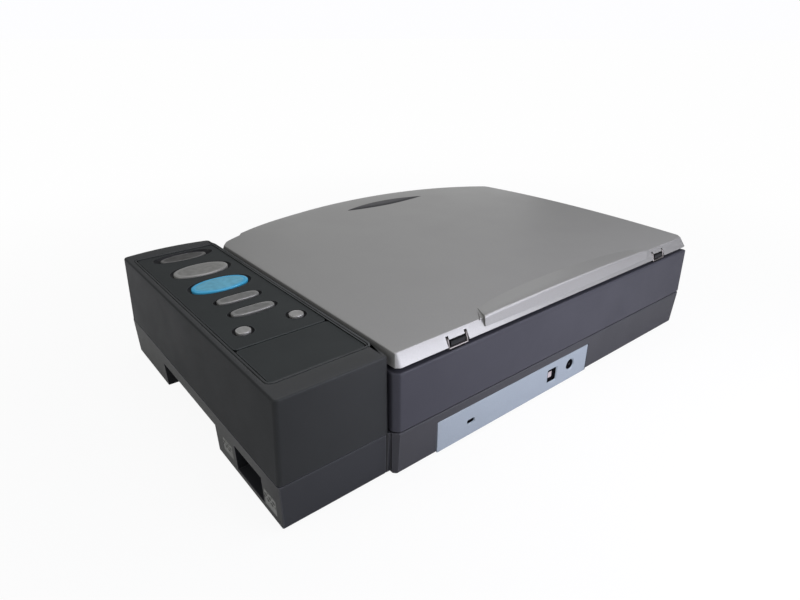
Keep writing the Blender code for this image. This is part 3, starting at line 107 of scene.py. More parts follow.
class Value:
    """One socket of a node. Sums on it add the Math nodes that work them out."""

    def __init__(self, owner, socket):
        self.owner = owner
        self.socket = socket

    def maths(self, operation, *values):
        return self.owner.node("Math", dict(enumerate(values)), operation=operation)

    def __abs__(self):
        return self.maths("ABSOLUTE", self)

    __add__ = __radd__ = operator("ADD")
    __mul__ = __rmul__ = operator("MULTIPLY")
    __sub__, __rsub__ = operator("SUBTRACT"), operator("SUBTRACT", swapped=True)
    __truediv__, __rtruediv__ = operator("DIVIDE"), operator("DIVIDE", swapped=True)
    __pow__ = operator("POWER")
    __gt__, __lt__ = operator("GREATER_THAN"), operator("LESS_THAN")

    def step(self, low, high):
        """0 below low, 1 above high, and a smooth rise between them."""
        ends = {"Value": self, "From Min": low, "From Max": high}
        return self.owner.node("MapRange", ends, interpolation_type="SMOOTHSTEP")

    def wave(self, pitch):
        """Rises from 0 to pitch and falls back, over and over."""
        return self.maths("PINGPONG", self, pitch)

    def part(self, axis):
        """X, Y or Z of a vector."""
        return self.owner.node("SeparateXYZ", {0: self}, output="XYZ".index(axis))


class Nodes:
    """The nodes of a material or of the world."""

    def __init__(self, holder):
        holder.use_nodes = True
        self.tree = holder.node_tree

    def node(self, kind, values=None, output=0, **settings):
        """Makes any node: its settings come first, and then its sockets' values and links."""
        made = self.tree.nodes.new("ShaderNode" + kind)
        for name, value in settings.items():
            setattr(made, name, value)
        for name, value in (values or {}).items():
            self.feed(made.inputs[name], value)
        return Value(self, made.outputs[output])

    def feed(self, socket, value):
        if isinstance(value, Value):
            self.tree.links.new(value.socket, socket)
        elif isinstance(value, tuple) and socket.type == "RGBA":
            socket.default_value = (*value, 1)
        else:
            socket.default_value = value


class Finish(Nodes):
    """A material on the Principled shader, with short calls for the nodes that feed it."""

    def __init__(self, name, **constants):
        self.name = name
        self.material = bpy.data.materials.new(name)
        super().__init__(self.material)
        self.shader = self.tree.nodes["Principled BSDF"]
        for socket, value in constants.items():
            self.set(socket.replace("_", " "), value)

    def set(self, socket, value):
        self.feed(self.shader.inputs[socket], value)

    def place(self):
        """Where the point is on the object, in metres."""
        return self.node("TexCoord", output="Object")

    def along(self, axis):
        return self.place().part(axis)

    def grain(self, size, detail=2.0, stretch=(1, 1, 1)):
        """Soft noise from 0 to 1 whose lumps are about size metres across."""
        spot = self.node("Mapping", {"Vector": self.place(), "Scale": stretch})
        return self.node("TexNoise", {"Vector": spot, "Scale": 1 / size, "Detail": detail})

    def cells(self, size, output="Distance"):
        """Small round cells, size metres apart."""
        return self.node("TexVoronoi", {"Vector": self.place(), "Scale": 1 / size}, output)

    def specks(self, size):
        """Small cells that each have a value of their own, from 0 to 1."""
        return self.node("SeparateColor", {0: self.cells(size, "Color")})

    def mix(self, factor, first, second):
        """A colour between two, by a factor that may vary."""
        return self.node("Mix", {0: factor, 6: first, 7: second}, output=2, data_type="RGBA")

    def cover(self, colour, roughness, height=None, depth=0.0, strength=1.0):
        """Sets the colour and the roughness, and a relief that is depth metres deep."""
        self.set("Base Color", colour)
        self.set("Roughness", roughness)
        if height is not None:
            self.set("Normal", self.node("Bump", {"Height": height, "Distance": depth, "Strength": strength}))

    def dress(self, piece):
        piece.data.materials.clear()
        piece.data.materials.append(self.material)


print("Finishes are written as sums from here on")

# %% [markdown]
# ## Moulded plastic
#
# The case is dark grey plastic with a fine spark-eroded grain, which scatters light so that the faces
# look soft. The grain is a noise a third of a millimetre wide that drives a shallow bump, and a wider
# noise makes faint handling marks in the roughness. The edges are painted a little paler, partly as wear
# and partly as a painted highlight where they catch the light, and what faces up is painted lighter,
# partly as dust and partly as painted light from above. The photograph shows the module darker than the
# body and the tray, and the tray's foot under the module as dark as the module, so those are three shades
# of one recipe. The foot's end face is painted lighter, as painted light, and darker towards the rear, as
# painted shade.

# %% Moulded plastics
# Edges are painted paler over this radius, partly as wear and partly as a painted highlight.
WEAR_AND_HIGHLIGHT_RADIUS = 0.0012
# Colour that up-facing faces are painted towards: partly dust, partly painted light from above.
DUST_AND_TOP_LIGHT = (0.16, 0.16, 0.16)
# The tray's foot under the module: its own dark shade on the rear face, and on the end face a lighter colour that is
# painted light, painted darker towards the rear as painted shade.
FOOT_FROM = (0.1445, 0.1457)
FOOT_END_SHADE_Y = (0.110, 0.156)
UNDER_MODULE_AND_LIT_END = ((0.0195, 0.0210, 0.0235), (0.102, 0.103, 0.098))


def tinted(colour, share, lift=0.0):
    """A colour times a share, plus a little of every part."""
    return tuple(part * share + lift for part in colour)


def moulded(name, colour, roughness, grain=0.00035, depth=0.00003, rubbed=0.0, dust_and_top_light=0.0, under=None, shine=0.22):
    """Moulded plastic. Rubbed paints the edges pale, partly as wear and partly as a painted highlight; dust paints
    what faces up lighter, partly as dust and partly as painted light from above; under colours the module's foot,
    whose end face is painted lighter as painted light and darker towards the rear as painted shade.
    """
    finish = Finish(name, Specular_IOR_Level=shine)
    pits = finish.grain(grain, 3)
    marks = finish.grain(0.035, 4)
    pale = tinted(colour, 1.12, 0.002)
    shade = finish.mix(marks.step(0.3, 0.75) * 0.35, colour, tinted(colour, 0.86))
    shade = finish.mix(pits.step(0.5, 0.8) * 0.6, shade, pale)
    facing = finish.node("NewGeometry", output="Normal")
    # The foot's end face is painted lighter as painted light, and darker towards the rear as painted shade.
    if under:
        rear, end = under
        end = finish.mix(finish.along("Y").step(*FOOT_END_SHADE_Y), end, tinted(end, 0.45))
        foot = finish.mix(pits * 0.3, finish.mix(facing.part("X").step(0.5, 0.9), rear, end), pale)
        shade = finish.mix(finish.along("X").step(*FOOT_FROM), shade, foot)
    # Up-facing faces are painted lighter, partly as dust and partly as painted light from above.
    if dust_and_top_light:
        facing_up = facing.part("Z").step(0.85, 1.0) * (0.4 + marks * 0.6)
        shade = finish.mix(facing_up * dust_and_top_light, shade, DUST_AND_TOP_LIGHT)
    wear_and_highlight = 0.0
    # Edges are painted paler, partly as wear and partly as a painted highlight where they catch the light.
    if rubbed:
        rounded = finish.node("Bevel", {"Radius": WEAR_AND_HIGHLIGHT_RADIUS}, samples=4)
        edge = 1 - finish.node("VectorMath", {0: rounded, 1: facing}, output="Value", operation="DOT_PRODUCT")
        wear_and_highlight = edge.step(0.01, 0.16) * marks.step(0.15, 0.55)
        shade = finish.mix(wear_and_highlight * rubbed, shade, tinted(colour, 2.6, 0.012))
    finish.cover(shade, roughness + (marks - 0.5) * 0.16 + (pits - 0.5) * 0.1 - wear_and_highlight * 0.12, pits, depth)
    return finish


# The rubbed amounts paint pale edges, wear and painted highlight together; the dust amount paints up-facing faces
# lighter, dust and painted light from above together.
charcoal = moulded("charcoal_plastic", (0.0183, 0.0198, 0.0202), 0.50, rubbed=0.9, dust_and_top_light=0.17)
body_grey = moulded("body_plastic", (0.0400, 0.0400, 0.0500), 0.50, rubbed=0.6)
tray_grey = moulded("tray_plastic", (0.0410, 0.0410, 0.0455), 0.50, rubbed=0.6, under=UNDER_MODULE_AND_LIT_END)
# Black plastic; on the button wells and the inlet's pin its black is painted shade.
black = moulded("black_plastic", (0.009, 0.009, 0.010), 0.50, depth=0.00002)
# Near black with almost no shine: painted shade inside the openings, in the gap at the rear plate's end and in the
# plaques' pits.
painted_shade_black = moulded("painted_shade_plastic", (0.0012, 0.0012, 0.0018), 0.75, depth=0.00002, shine=0.03)
panel_grey = moulded("panel_plastic", (0.0205, 0.0235, 0.0235), 0.58, grain=0.00025, rubbed=1.0)
# The tongue is white plastic painted darker, a greyish pink, as painted shade where it stands deep in the port.
shaded_tongue_white = moulded("shaded_tongue_plastic", (0.42, 0.37, 0.37), 0.60)
rubber = moulded("foot_rubber", (0.020, 0.020, 0.020), 0.82, grain=0.0006)
print("Moulded finishes", [m.name for m in bpy.data.materials if m.name.endswith(("_plastic", "_rubber"))])

# %% [markdown]
# ## Silver paint
#
# The lid is plastic under a fine metallic paint. Such a paint holds flakes that each catch the light
# at their own angle, so small cells vary the brightness and tilt the surface a little, under a smooth
# coat. A broad cloudiness keeps the large flat top from looking like one flat colour.

# %% Silver paints
FLAKE = 0.00022
SILVER = (0.300, 0.298, 0.288)


def metallic_paint(name, colour, roughness, metal, cloud=0.06):
    finish = Finish(name, Specular_IOR_Level=0.5, Coat_Roughness=0.25)
    sparkle = finish.specks(FLAKE)
    clouds = finish.grain(cloud, 3)
    darker = tinted(colour, 0.9)
    body = finish.mix(sparkle, darker, tinted(colour, 1.12))
    shown = finish.mix(clouds.step(0.35, 0.7) * 0.22, body, darker)
    finish.cover(shown, roughness + (sparkle - 0.5) * 0.12 + (clouds - 0.5) * 0.08, sparkle, 0.000006, 0.6)
    finish.set("Metallic", metal + (sparkle - 0.5) * 0.2)
    finish.set("Coat Weight", 0.12 + finish.grain(0.02) * 0.08)
    return finish


silver = metallic_paint("silver_paint", SILVER, 0.41, 0.46)
button_silver = metallic_paint("button_silver", (0.360, 0.358, 0.345), 0.36, 0.35, cloud=0.01)
button_grey = metallic_paint("button_grey", (0.225, 0.215, 0.195), 0.40, 0.25, cloud=0.012)
button_blue = metallic_paint("button_blue", (0.060, 0.370, 0.600), 0.34, 0.05, cloud=0.012)
button_dark = metallic_paint("button_dark", (0.060, 0.056, 0.052), 0.28, 0.20, cloud=0.012)
plate_paint = metallic_paint("port_plate_paint", (0.270, 0.310, 0.348), 0.50, 0.15, cloud=0.03)
print("Silver top colour", SILVER)

# %% [markdown]
# ## Glass, metals and the inside
#
# The platen is clear float glass, whose only detail is a faint haze and finger marks in its roughness.
# Steel wire and rods are drawn metal with fine lines along them. The circuit boards, the flat cable
# and the mirrors sit under the glass, where they show when the lid is open.

# %% Glass and metals
glass = Finish("platen_glass", Transmission_Weight=1.0, IOR=1.5)
haze = glass.mix(glass.grain(0.05), (0.93, 0.97, 0.95), (0.90, 0.95, 0.93))
glass.cover(haze, 0.015 + glass.grain(0.03, 5).step(0.55, 0.8) * 0.05)


def drawn_metal(name, colour, roughness, stretch):
    finish = Finish(name)
    lines = finish.grain(0.0006, 2, stretch)
    finish.cover(finish.mix(lines, tinted(colour, 0.82), colour), roughness + lines * 0.14, lines, 0.000008, 0.5)
    finish.set("Metallic", 0.96 + lines * 0.04)
    return finish


steel = drawn_metal("bright_steel", (0.27, 0.25, 0.24), 0.34, (0.2, 1, 1))
brass = drawn_metal("bushing_brass", (0.60, 0.43, 0.18), 0.30, (1, 0.1, 1))
mirror = drawn_metal("front_mirror", (0.90, 0.90, 0.91), 0.02, (1, 0.02, 1))

sheet = Finish("white_sheet", Specular_IOR_Level=0.4)
paper = sheet.mix(sheet.grain(0.03, 4), (0.82, 0.82, 0.80), (0.76, 0.76, 0.75))
sheet.cover(paper, 0.5 + sheet.grain(0.01) * 0.15, sheet.grain(0.0008), 0.00001)

foam = Finish("grey_foam")
bubbles = foam.cells(0.0011)
cut_foam = foam.mix(bubbles.step(0.2, 0.7), (0.30, 0.30, 0.30), (0.17, 0.17, 0.17))
foam.cover(cut_foam, 0.86 + bubbles * 0.1, bubbles, 0.0003)

lamp_white = Finish("lamp_tube")
milk = lamp_white.mix(lamp_white.grain(0.004), (0.90, 0.90, 0.88), (0.84, 0.85, 0.86))
lamp_white.cover(milk, 0.15 + lamp_white.grain(0.002) * 0.1)
print("Steel, brass, mirror, glass, sheet, foam and lamp are ready")

# %% Circuit board and flat cable
TRACK_HALF = 0.00022
WIRE_PITCH = 0.0005

board = Finish("circuit_board", Specular_IOR_Level=0.5)
track_x = abs(board.along("X").wave(0.0014) - 0.0007) < TRACK_HALF
track_y = abs(board.along("Y").wave(0.0019) - 0.0009) < TRACK_HALF
turn = board.specks(0.012) > 0.5
track = track_x * turn + track_y * (1 - turn)
lacquer = board.mix(track * 0.6, (0.014, 0.120, 0.055), (0.050, 0.230, 0.110))
board.cover(lacquer, 0.40 + board.grain(0.003) * 0.15, track, 0.00004)

flex = Finish("flex_cable")
wires = flex.along("X").wave(WIRE_PITCH) / WIRE_PITCH
ribbon = flex.mix(wires.step(0.2, 0.5), (0.46, 0.46, 0.45), (0.72, 0.72, 0.70))
flex.cover(ribbon, 0.5 - wires * 0.12, wires, 0.00008)

FINISHES = (
    charcoal, black, panel_grey, rubber, silver, button_silver, button_grey, button_blue, button_dark,
    plate_paint, glass, steel, brass, mirror, sheet, foam, lamp_white, board, flex,
)
finish_of = {finish.name: finish for finish in FINISHES}
for row in frame["record"]["subparts"]:
    finish_of[row["material_slot"]].dress(nodes[row["node"]])
tray_grey.dress(nodes["lower_case"])

# %% [markdown]
# ## Making pieces
#
# Every new piece is a mesh built from rings or rows of points, so that its curves are as fine as they
# need to be. A few helpers cover nearly all of them: they join rings of points into a skin, turn a mesh
# into a named piece that rides on a body, and carve holes with a Boolean whose result is kept. Edges
# sharper than a set angle stay crisp, and the rest is shaded smooth.

# %% Rings, pieces and carving
SAME_POINT = 1e-7
ROLL_STEPS = 6


def skin(bm, rings, loop=True, caps=False):
    """Joins rows of points of equal length into quads, and can close the first and the last."""
    rows = [[bm.verts.new(point) for point in ring] for ring in rings]
    for one, two in zip(rows, rows[1:]):
        count = len(one) if loop else len(one) - 1
        for i in range(count):
            j = (i + 1) % len(one)
            bm.faces.new((one[i], one[j], two[j], two[i]))
    if caps:
        bm.faces.new(list(reversed(rows[0])))
        bm.faces.new(rows[-1])


def solid(rings, tube=False):
    """A new mesh from rings of points: capped at both ends or, as a tube, closed into itself."""
    bm = bmesh.new()
    skin(bm, rings + [rings[0]] if tube else rings, caps=not tube)
    return bm


def object_of(name, bm):
    """An object with a mesh, all of its faces turned outwards."""
    bmesh.ops.recalc_face_normals(bm, faces=bm.faces)
    mesh = bpy.data.meshes.new(name)
    bm.to_mesh(mesh)
    bm.free()
    made = bpy.data.objects.new(name, mesh)
    scene.collection.objects.link(made)
    return made


def piece_of(name, bm, finish, body, crisp=35):
    """A named piece from a mesh, with its finish, that moves with a body."""
    bmesh.ops.remove_doubles(bm, verts=bm.verts, dist=SAME_POINT)
    piece = object_of(name, bm)
    settle(piece, crisp)
    finish.dress(piece)
    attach(piece, body)
    return piece


def settle(piece, crisp=35):
    piece.data.shade_smooth()
    piece.data.set_sharp_from_angle(angle=math.radians(crisp))


def keep_result(piece):
    """Replaces the mesh with what its modifiers make, and drops them."""
    bpy.context.view_layer.update()
    graph = bpy.context.evaluated_depsgraph_get()
    made = bpy.data.meshes.new_from_object(piece.evaluated_get(graph))
    piece.modifiers.clear()
    piece.data = made


def carve(piece, *tools):
    """Carves tools out of a piece, and removes them."""
    for tool in tools:
        step = piece.modifiers.new("step", "BOOLEAN")
        step.operation = "DIFFERENCE"
        step.solver = "MANIFOLD"
        step.object = tool
        keep_result(piece)
        bpy.data.objects.remove(tool)
    settle(piece)


def level(points, z):
    """Plan points at a height."""
    return [(x, y, z) for x, y in points]


def box_mesh(low, high):
    corners = ((low[0], low[1]), (high[0], low[1]), (high[0], high[1]), (low[0], high[1]))
    return solid([level(corners, z) for z in (low[2], high[2])])


def block(name, low, high):
    """A plain box, as a tool to carve with."""
    return object_of(name, box_mesh(low, high))


def roll_over(radius):
    """How far in and how far down an edge lies, at the steps of a quarter turn over it."""
    turns = [math.radians(90 * i / ROLL_STEPS) for i in range(ROLL_STEPS + 1)]
    return [(radius * (1 - math.cos(turn)), radius * (1 - math.sin(turn))) for turn in turns]


def hump(share):
    """A parabola that rises from 0 at both ends to 1 in the middle."""
    return 1 - (2 * share - 1) ** 2


def smooth_step(value, low, high):
    share = min(1.0, max(0.0, (value - low) / (high - low)))
    return share * share * (3 - 2 * share)


print("Helpers for rings, pieces and carving are ready")

# %% [markdown]
# ## Lid
#
# The lid is a thin moulding whose top is crowned towards a bowed nose and along its far side, with a
# leaning skirt all round and a small step near the module. A subdivided cage would round the corners too
# much, so the top is a fine grid between a front line and a rear line, and the skirt is a set of rings
# that roll over the edge, run down the lean and turn in under it.

# %% The lid's lines
LID_LOW, LID_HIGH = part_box("lid_shell")
CROWN = 0.0040
SIDE_CROWN = 0.0030
SKIRT = 0.0090
LID_TOP = LID_HIGH.z - CROWN
LID_UNDER = LID_TOP - SKIRT
LEAN_SIDE = 0.0025
LEAN_REAR = 0.0048
FAR_CUT = 0.0060
EDGE_ROLL = 0.0011
LID_SKIN = 0.0022
LID_LEFT = LID_LOW.x + LEAN_SIDE
LID_RIGHT = LID_HIGH.x - LEAN_SIDE
LID_NOSE = LID_LOW.y + LEAN_SIDE
LID_REAR = 0.15135
NOSE_BOW = 0.0420
STEP_X = 0.1155
STEP_OUT = 0.0034
STEP_RISE = (0.030, 0.105)
STEP_HALF = 0.0022
NEAR_EASE, NEAR_EASE_LONG = 0.0050, 0.011
FAR_EASE, FAR_EASE_LONG = 0.0045, 0.006
REAR_EASE, REAR_EASE_LONG = 0.0006, 0.0015
LID_SPANS = 56
STEP_PITCH = 0.0011
CUT_SHARES = (0.25, 0.5, 0.75, 1.0)
NEAR_COLUMNS = (0.0008, 0.0018, 0.0032, 0.0052, 0.008)
LEAST_SPAN = 0.0005


def lid_share(x):
    return (x - LID_LEFT) / (LID_RIGHT - LID_LEFT)


def nose_line(x):
    """Y of the lid's front edge: a bow, with a small step near the module and eased corners."""
    y = LID_NOSE + NOSE_BOW * (1 - hump(lid_share(x)))
    y -= STEP_OUT * smooth_step(x, *STEP_RISE) * (1 - smooth_step(x, STEP_X - STEP_HALF, STEP_X + STEP_HALF))
    y += NEAR_EASE * smooth_step(x, LID_RIGHT - NEAR_EASE_LONG, LID_RIGHT) ** 2
    return y + FAR_EASE * (1 - smooth_step(x, LID_LEFT, LID_LEFT + FAR_EASE_LONG)) ** 2


def rear_line(x):
    """Y of the lid's rear edge: straight, with a chamfer at the far corner."""
    near = REAR_EASE * smooth_step(x, LID_RIGHT - REAR_EASE_LONG, LID_RIGHT)
    return LID_REAR - near - FAR_CUT * max(0.0, 1 - (x - LID_LEFT) / FAR_CUT)


def lid_height(x, y):
    """Z of the lid's top: crowned along the nose, and along the side that is far from the module."""
    front, rear = nose_line(x), rear_line(x)
    across = min(1.0, max(0.0, (y - front) / (rear - front)))
    along = min(1.0, max(0.0, lid_share(x)))
    nose = CROWN * (1 - abs(2 * along - 1) ** 3) * (1 - across) ** 1.5
    return LID_TOP + nose + SIDE_CROWN * hump(across) * (1 - along) ** 2


def lid_columns():
    """X of the columns: close together where the front line turns, and wide between."""
    xs = {LID_LEFT + (LID_RIGHT - LID_LEFT) * (i / LID_SPANS) for i in range(LID_SPANS + 1)}
    xs |= {STEP_X + i * STEP_PITCH for i in range(-3, 4)}
    xs |= {LID_LEFT + FAR_CUT * share for share in CUT_SHARES}
    xs |= {LID_RIGHT - back for back in NEAR_COLUMNS}
    kept = []
    for x in sorted(xs):
        if not kept or x - kept[-1] > LEAST_SPAN:
            kept.append(x)
    kept[-1] = LID_RIGHT
    return kept


print("Lid from", tuple(LID_LOW), "to", tuple(LID_HIGH))

# %% The lid's skin
LID_ROWS = 26
CORNER_LEAN = 0.0014
EDGE_TURNS = ((0.0, 0.0), (0.40, 0.03), (0.72, 0.16), (0.93, 0.42), (1.0, 0.75))
SKIRT_LINE = (
    ((EDGE_ROLL, 0.90), (0.90, 0.0)),
    ((EDGE_ROLL, 0.985), (0.975, 0.0)),
    ((EDGE_ROLL - 0.0004, 1.0), (1.0, 0.0)),
    ((EDGE_ROLL - LID_SKIN, 1.0), (1.0, 0.0)),
    ((EDGE_ROLL - LID_SKIN, 0.2), (0.0, LID_SKIN)),
)


def lid_border(rows):
    """The outer line of a grid of points, once round."""
    front, rear = rows[0], rows[-1]
    right = [row[-1] for row in rows[1:-1]]
    left = [row[0] for row in rows[1:-1]]
    return front + right + rear[::-1] + left[::-1]


def outward(line):
    """The direction that points out of a closed line, at each of its points, in plan."""
    out = []
    for i, point in enumerate(line):
        along = Vector(line[(i + 1) % len(line)]) - Vector(line[i - 1])
        out.append(Vector((along.y, -along.x, 0)).normalized())
    return out


def skirt_ring(line, out, reach, drop):
    """The border moved out by a length plus a share of the lean, and down by a share of the skirt."""
    ring = []
    for (x, y, z), way in zip(line, out):
        lean = LEAN_SIDE + (LEAN_REAR - LEAN_SIDE) * max(0.0, way.y) ** 2
        lean += CORNER_LEAN * max(0.0, -2 * way.x * way.y) ** 2
        move = reach[0] + reach[1] * lean
        top = z - drop[1]
        ring.append((x + way.x * move, y + way.y * move, top + (LID_UNDER - top) * drop[0]))
    return ring


def lid_rows():
    """The lid's top as a grid of points, inside the rolled edge."""
    xs, rows = lid_columns(), []
    for j in range(LID_ROWS + 1):
        row = []
        for x in xs:
            front, rear = nose_line(x) + EDGE_ROLL, rear_line(x) - EDGE_ROLL
            y = front + (rear - front) * j / LID_ROWS
            row.append((min(max(x, LID_LEFT + EDGE_ROLL), LID_RIGHT - EDGE_ROLL), y, lid_height(x, y)))
        rows.append(row)
    return rows


def make_lid_skin():
    rows = lid_rows()
    border = lid_border(rows)
    out = outward(border)
    rings = [skirt_ring(border, out, (EDGE_ROLL * a, 0.0), (0.0, EDGE_ROLL * b)) for a, b in EDGE_TURNS]
    rings += [skirt_ring(border, out, reach, drop) for reach, drop in SKIRT_LINE]
    bm = bmesh.new()
    skin(bm, rows, loop=False)
    skin(bm, rings)
    skin(bm, [[(x, y, z - LID_SKIN) for x, y, z in row[::-1]] for row in rows], loop=False)
    skin(bm, [rings[-1], [(x, y, z - LID_SKIN) for x, y, z in border]])
    return piece_of("lid_skin", bm, silver, "lid")


lid_skin = make_lid_skin()
print("Lid skin", len(lid_skin.data.vertices), "points")

# %% [markdown]
# ## Grip and hinge openings
#
# Along the middle of the lid's rear edge a raised lip gives the fingers a hold. Its rear face stands
# upright, its upper edge is rolled, and its top runs forward into the lid along a shallow arch, so it
# is one sweep of a cross-section whose front point moves. The bails stand in narrow notches cut
# through the skirt, each pair with a lower window between for the hinge block.

# %% Grip
GRIP_LEFT = -0.1500
GRIP_RIGHT = 0.0625
GRIP_REAR = 0.1540
GRIP_OUT = 0.0006
GRIP_FOOT = LID_UNDER + 0.0036
GRIP_TOP = LID_HIGH.z - 0.0014
GRIP_CROWN = 0.0013
GRIP_SAG = 0.0010
GRIP_SLANT = 0.55
GRIP_REACH = 0.0160
GRIP_BOW = 0.0090
GRIP_SUNK = 0.0008
GRIP_LET_IN = 0.002
GRIP_EASE = 0.0002
RIM = 0.0020
END_SHARES = (0.0, 0.004, 0.010, 0.018, 0.03, 0.05)
END_TALL, END_STEEP = 0.8, 60
GRIP_ARCH = 0.46
GRIP_SPANS = 24
SLANT_FROM = 0.85


def grip_section(share):
    """The lip's outline across the lid at a share of its length, from the foot forward and back."""
    bow = hump(share)
    end = min(1.0, END_STEEP * min(share, 1 - share))
    rise = (GRIP_TOP - LID_TOP + GRIP_CROWN * bow) * (END_TALL + (1 - END_TALL) * end ** 0.5)
    foot = GRIP_FOOT - GRIP_SAG * bow
    front = GRIP_REAR - GRIP_REACH - GRIP_BOW * bow
    roll = [(GRIP_REAR - back, LID_TOP + rise - down) for back, down in roll_over(RIM)]
    middle = ((GRIP_REAR + front) / 2, LID_TOP + rise * GRIP_ARCH)
    low = LID_TOP - GRIP_SUNK
    under = [(front, low), (LID_REAR - GRIP_LET_IN, low), (GRIP_REAR, foot - GRIP_EASE)]
    return [(GRIP_REAR + GRIP_OUT, foot), *roll, middle, (front, LID_TOP + GRIP_EASE), *under]


def make_grip():
    last = END_SHARES[-1]
    shares = [*END_SHARES] + [last + (1 - 2 * last) * i / GRIP_SPANS for i in range(1, GRIP_SPANS)]
    shares += [1 - share for share in END_SHARES[::-1]]
    rings = []
    for share in shares:
        x = GRIP_LEFT + (GRIP_RIGHT - GRIP_LEFT) * share
        slant = smooth_step(share, SLANT_FROM, 1.0) - smooth_step(1 - share, SLANT_FROM, 1.0)
        rings.append([(x - GRIP_SLANT * slant * max(0.0, GRIP_REAR - y), y, z) for y, z in grip_section(share)])
    return piece_of("lid_grip", solid(rings), silver, "lid", crisp=50)


HINGES = (-0.1715, 0.0891)
BAIL_HALF = 0.0086
NOTCH_HALF = 0.0013
NOTCH_FRONT, NOTCH_REAR = 0.14475, 0.162
NOTCH_FOOT, NOTCH_TOP = LID_UNDER - 0.002, 0.0915
WINDOW_TOP = 0.0892


def hinge_openings(x):
    """The notches for one bail's arms, and the lower window between them."""
    spans = [(x, BAIL_HALF, WINDOW_TOP)] + [(arm, NOTCH_HALF, NOTCH_TOP) for arm in (x - BAIL_HALF, x + BAIL_HALF)]
    return [
        block("notch", (middle - half, NOTCH_FRONT, NOTCH_FOOT), (middle + half, NOTCH_REAR, top))
        for middle, half, top in spans
    ]


for hinge_x in HINGES:
    carve(lid_skin, *hinge_openings(hinge_x))
lid_grip = make_grip()
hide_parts("lid_shell")
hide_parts("lid_shell")
print("Grip", round(GRIP_RIGHT - GRIP_LEFT, 4), "m long, hinge openings at", HINGES)

# %% [markdown]
# ## Control module
#
# The controls sit in a taller box whose end face leans in a little and whose front bows out. Its
# edges are rolled by about a millimetre and a half, which is what catches the light. It is made as one
# loop of rings that runs up the outside, over the edge, through a fine groove, down into the bed of the
# panel and back under the top, so it is a real shell with a real wall.

# %% Module shell
CORNER_STEPS = 4
FRONT_SPANS = 8


def rounded_plan(x0, y0, x1, y1, radius, bow=0.0):
    """A rectangle in plan with round corners, whose front edge can bow out."""
    left, right, near, far = x0 + radius, x1 - radius, y0 + radius, y1 - radius
    points = [(left + (x1 - x0 - 2 * radius) * i / FRONT_SPANS, y0) for i in range(FRONT_SPANS + 1)]
    for turn, (cx, cy) in enumerate(((right, near), (right, far), (left, far), (left, near))):
        for i in range(1 if turn in (0, 3) else 0, CORNER_STEPS + (turn < 3)):
            angle = math.radians(90 * (turn - 1 + i / CORNER_STEPS))
            points.append((cx + radius * math.cos(angle), cy + radius * math.sin(angle)))
    return [(x, y - bow * hump((x - x0) / (x1 - x0)) * (y < y0 + 2 * radius)) for x, y in points]


MOD_LOW, MOD_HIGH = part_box("module_housing")
MOD_BOW = 0.0045
MOD_FRONT = MOD_LOW.y + MOD_BOW
MOD_LEAN = 0.0028
MOD_ROLL = 0.0016
MOD_EASE = 1.9
MOD_WALL = 0.0026
MOD_CORNER = 0.0031
LEAST_CORNER = 0.0004
FOOT_EASE = 0.0003
WALL_DEEP = 0.02
PANEL_LOW, PANEL_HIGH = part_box("control_panel")
LABEL_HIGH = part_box("label_plate")[1]
BED = (PANEL_LOW.x, PANEL_LOW.y, PANEL_HIGH.x, LABEL_HIGH.y)
BED_CORNER = 0.0030
BED_LINE = (
    (0.00290, 0.0), (0.00265, 0.00008), (0.00250, 0.0007), (0.00180, 0.0007), (0.00165, 0.00008), (0.00140, 0.0),
    (0.00055, 0.0), (0.00034, 0.00016), (0.00030, 0.00040), (0.00030, 0.0026), (-0.0030, 0.0026), (-0.0030, 0.0040),
)


def module_ring(inset, z, ease=1.0):
    """The module's outline at a height, moved in all round, and ease times as far beside the lid."""
    right = MOD_HIGH.x - MOD_LEAN * (z - MOD_LOW.z) / (MOD_HIGH.z - MOD_LOW.z) - inset
    left, front, rear = MOD_LOW.x + inset * ease, MOD_FRONT + inset, MOD_HIGH.y - inset
    return level(rounded_plan(left, front, right, rear, max(LEAST_CORNER, MOD_CORNER - inset), MOD_BOW), z)


def bed_ring(spread, z):
    """The outline of the panel's bed, grown by spread."""
    x0, y0, x1, y1 = BED
    return level(rounded_plan(x0 - spread, y0 - spread, x1 + spread, y1 + spread, BED_CORNER + spread), z)


def make_module_shell():
    top, foot = MOD_HIGH.z, MOD_LOW.z
    rings = [module_ring(MOD_WALL, foot), module_ring(FOOT_EASE, foot), module_ring(0.0, foot + FOOT_EASE)]
    rings += [module_ring(0.0, foot + (top - foot) * share) for share in (0.3, 0.6, 0.9)]
    rings += [module_ring(inset, top - down, MOD_EASE) for inset, down in roll_over(MOD_ROLL)]
    rings += [bed_ring(spread, top - drop) for spread, drop in BED_LINE]
    rings += [module_ring(MOD_WALL, top - BED_LINE[-1][1]), module_ring(MOD_WALL, top - WALL_DEEP)]
    return piece_of("module_shell", solid(rings, tube=True), charcoal, "base", crisp=28)


module_shell = make_module_shell()
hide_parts("module_housing")
print("Module shell", [round(v, 4) for v in MOD_HIGH - MOD_LOW], "m")

# %% [markdown]
# ## Panel and wells
#
# Each button stands in its own dished well. Seen from the rear a well reads as a dark crescent round
# the button, so its depth matters more than any line. The panel is a plate with an oval cut for every
# well, and the wells are a second piece of rings, each a shallow bowl that ends in a running gap. The
# wells are black plastic, darker than the panel, as painted shade in them.

